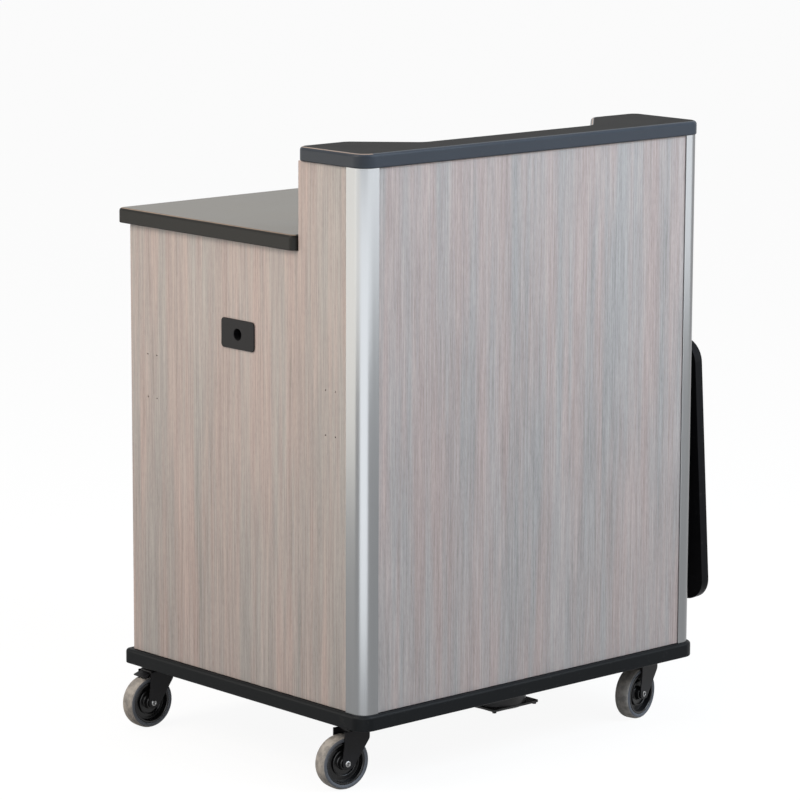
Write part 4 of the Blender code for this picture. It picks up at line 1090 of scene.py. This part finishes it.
worktop_low, worktop_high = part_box("worktop")
edge, rear = worktop_high.x - middle_x, worktop_high.y - audience_y
tongue = edge - worktop_overhang - worktop_post_end
outline = both_halves([
    (tongue, worktop_front, 0), (tongue, worktop_post_end, 0),
    (worktop_inner_half, worktop_post_end, 0), (worktop_inner_half, worktop_step, 0),
    (edge, worktop_step, worktop_corner), (edge, rear, worktop_corner)])
worktop = edged_board("worktop_faced", outline, worktop_low.z, worktop_high.z)
# The worktop's face tone is lighter and warmer than the other black faces: partly its own colour, partly a
# painted warm sheen.
worktop_finish = black_laminate(
    "worktop laminate", gloss=0.1, face_sheen=0.46, rim_sheen=0.40,
    face_tone=(0.060, 0.054, 0.042), rim_tone=(0.015, 0.015, 0.014), line=0.6, coat=0.72)
hung(worktop, worktop_finish, "cabinet", "worktop", "worktop")

cap_low, cap_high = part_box("top_cap")
edge, front, rear = cap_high.x - middle_x, cap_low.y - audience_y, cap_high.y - audience_y
outline = both_halves([
    (edge, front, cap_front_corner), (edge, rear, cap_rear_corner), (edge - cap_wing, rear, cap_fillet),
    (cap_middle_half, cap_middle_depth, cap_fillet)])
cap = edged_board("top_cap_faced", outline, cap_low.z, cap_high.z)
# The cap's edging tone is lighter and bluer than the other edgings: partly its own dark colour, partly a
# painted reflection of cool window light.
cap_finish = black_laminate(
    "top cap laminate", gloss=0.12, face_sheen=0.72, rim_sheen=0.36,
    face_tone=(0.004, 0.004, 0.004), rim_tone=(0.030, 0.037, 0.048), line=0.6)
hung(cap, cap_finish, "cabinet", "top_cap", "top_cap")

# The cable plate. A moulded black plate with rounded corners is pressed into the left panel, and
# a round hole lets a cable through.
cable_corner = 0.007
cable_proud = 0.0025
cable_hole = 0.011
cable_spigot = 0.010
cable_round = 0.0009

cable_low, cable_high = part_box("cable_plate")
centre = middle("cable_plate")
outline = rounded(rectangle(cable_low.y, cable_low.z, cable_high.y, cable_high.z, cable_corner), 8)
flange = plate("cable_plate_fine", outline, cable_low.x, cable_low.x + cable_proud, "YZ")
inset = rectangle(cable_low.y + cable_spigot, cable_low.z + cable_spigot,
                  cable_high.y - cable_spigot, cable_high.z - cable_spigot)
spigot = plate("spigot", rounded(inset), cable_low.x + cable_proud / 2, cable_high.x, "YZ")
bore = circle(cable_hole, 48, centre.y, centre.z)
bore = plate("bore", bore, cable_low.x - cut_overrun, cable_high.x + cut_overrun, "YZ")
cable_plate = shaded(softened(cut(joined(flange, spigot), bore), cable_round, 3), 35)
hung(cable_plate, moulded_black("cable plate plastic", 0.5, 0.12), "cabinet", "cable_plate", "cable_plate")

# The inside. A shelf lies on two cleats that are fixed to the side panels. All three are plain
# boards, so the model's own pieces stay and are faced with white lining laminate.
white_laminate = plain_finish(
    "white laminate", 0.49, tones=((0.56, 0.55, 0.53), (0.63, 0.62, 0.60)), clouds=(6.0, 4.0),
    change=0.10, grain=(1200.0, 2.0), relief=(0.0002, 0.3))
dress(white_laminate, "inner_shelf", "shelf_cleat_left", "shelf_cleat_right")

# The doors. Each hangs on a plated continuous hinge and has a bent black pull, and the right one
# has a cam lock.
knuckle_pitch = 0.01256
knuckle_gap = 0.0004
knuckle_radius = 0.003
leaf_near = 0.00015
leaf_far = 0.00115
leaf_width = 0.015
leaf_overlap = 0.0012
pull_radius = 0.004
pull_bend = 0.010
lock_radius = 0.0094
lock_face_profile = (
    (0, 0), (0.0078, 0), (0.0080, -0.0004), (0.0084, 0), (0.0106, 0), (0.0111, -0.0006), (0.0111, -0.002))
keyway_half_width = 0.0008
keyway_half_height = 0.004
keyway_depth = 0.006


def knuckle_tree():
    """Rolled hinge knuckles in a row up Z."""
    tree = Tree("hinge knuckles", count=33, pitch=2 * knuckle_pitch, length=knuckle_pitch - knuckle_gap,
                radius=knuckle_radius)
    places = tree.repeats("count", tree.vector(z=tree["pitch"]))
    knuckle = tree.cylinder(20, tree["radius"], tree["length"])
    return tree.end(tree.placed(places, knuckle))


hinge_steel = bright_steel("hinge steel", 0.32)
knuckles = knuckle_tree()
for name, side in (("left", -1), ("right", 1)):
    low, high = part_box(f"hinge_{name}_pin")
    axis = middle(f"hinge_{name}_pin")
    rows = int((high.z - low.z) / knuckle_pitch)
    leaves = ((1, "door_leaf", f"door_{name}", -side), (0, "cabinet_leaf", "cabinet", side))
    for parity, leaf, body, face in leaves:
        node = f"hinge_{name}_{leaf}"
        row = knuckles.grown(f"{node}_knuckles", hinge_steel, count=len(range(parity, rows, 2)))
        start = low.z + knuckle_pitch * (parity + 0.5) + (high.z - low.z - rows * knuckle_pitch) / 2
        moved(row, spot((axis.x, axis.y, start)))
        hung(shaded(row, 50), hinge_steel, body, node)
        near, far = sorted((axis.x + face * leaf_near, axis.x + face * leaf_far))
        root = axis.y - knuckle_radius
        flat = rounded(rectangle(root - leaf_width, low.z, root + leaf_overlap, high.z))
        hung(plate(f"{node}_fine", flat, near, far, "YZ"), hinge_steel, body, node, node)
    dress(hinge_steel, f"hinge_{name}_pin")

pull_steel = black_steel("pull steel", 0.34)
for name in ("left", "right"):
    low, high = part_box(f"door_pull_{name}")
    x, reach = middle(f"door_pull_{name}").x, high.y - pull_radius
    foot, head = low.z + pull_radius, high.z - pull_radius
    route = rounded([
        (low.y, foot, 0), (reach, foot, pull_bend), (reach, head, pull_bend), (low.y, head, 0)], 10)
    pull = rod(f"door_pull_{name}_fine", [(x, y, z) for y, z in route], pull_radius, 8)
    hung(shaded(pull, 50), pull_steel, f"door_{name}", f"door_pull_{name}", f"door_pull_{name}")

low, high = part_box("lock_barrel")
face = high.y - low.y
front = stepped(lock_face_profile, 0, face)
barrel = turned("lock_barrel_fine", [*front, (lock_radius, front[-1][1]), (lock_radius, 0), (0, 0)], 64)
slit = rectangle(-keyway_half_width, -keyway_half_height, keyway_half_width, keyway_half_height)
keyway = plate("keyway", rounded(slit), face - keyway_depth, face + cut_overrun)
barrel = moved(cut(barrel, keyway), Matrix.Rotation(math.radians(-90), 4, "X"))
centre = middle("lock_barrel")
moved(barrel, spot((centre.x, low.y, centre.z)))
hung(shaded(barrel, 34), bright_steel("lock steel", 0.22), "door_right", "lock_barrel", "lock_barrel")
dress(hinge_steel, "lock_cam")

# The fold-down shelf. A black board with large rounded corners and a fine edging hangs beside the
# right panel on two black folding brackets of bent sheet steel.
shelf_size = Vector((0.529, 0.642, 0.020))
shelf_corner = 0.045
shelf_edging = 0.002
shelf_lean = 3.9

outline = rounded(rectangle(0, 0, shelf_size.x, shelf_size.y, shelf_corner))
board = edged_board("fold_shelf_faced", outline, 0, shelf_size.z, edging=shelf_edging)
turn = Matrix.Rotation(math.radians(90 - shelf_lean), 4, "Y")
moved(board, spot(middle("fold_shelf")) @ turn @ spot(shelf_size / -2))
shelf_finish = black_laminate(
    "fold shelf laminate", gloss=0.06, face_sheen=0.50, rim_sheen=0.42,
    face_tone=(0.006, 0.006, 0.007), rim_tone=(0.004, 0.004, 0.005))
hung(board, shelf_finish, "fold_shelf", "fold_shelf", "fold_shelf")

bracket_steel = black_steel("bracket steel", 0.42)
for end in ("front", "rear"):
    dress(bracket_steel, f"bracket_leg_{end}", f"bracket_arm_{end}", f"bracket_brace_{end}")
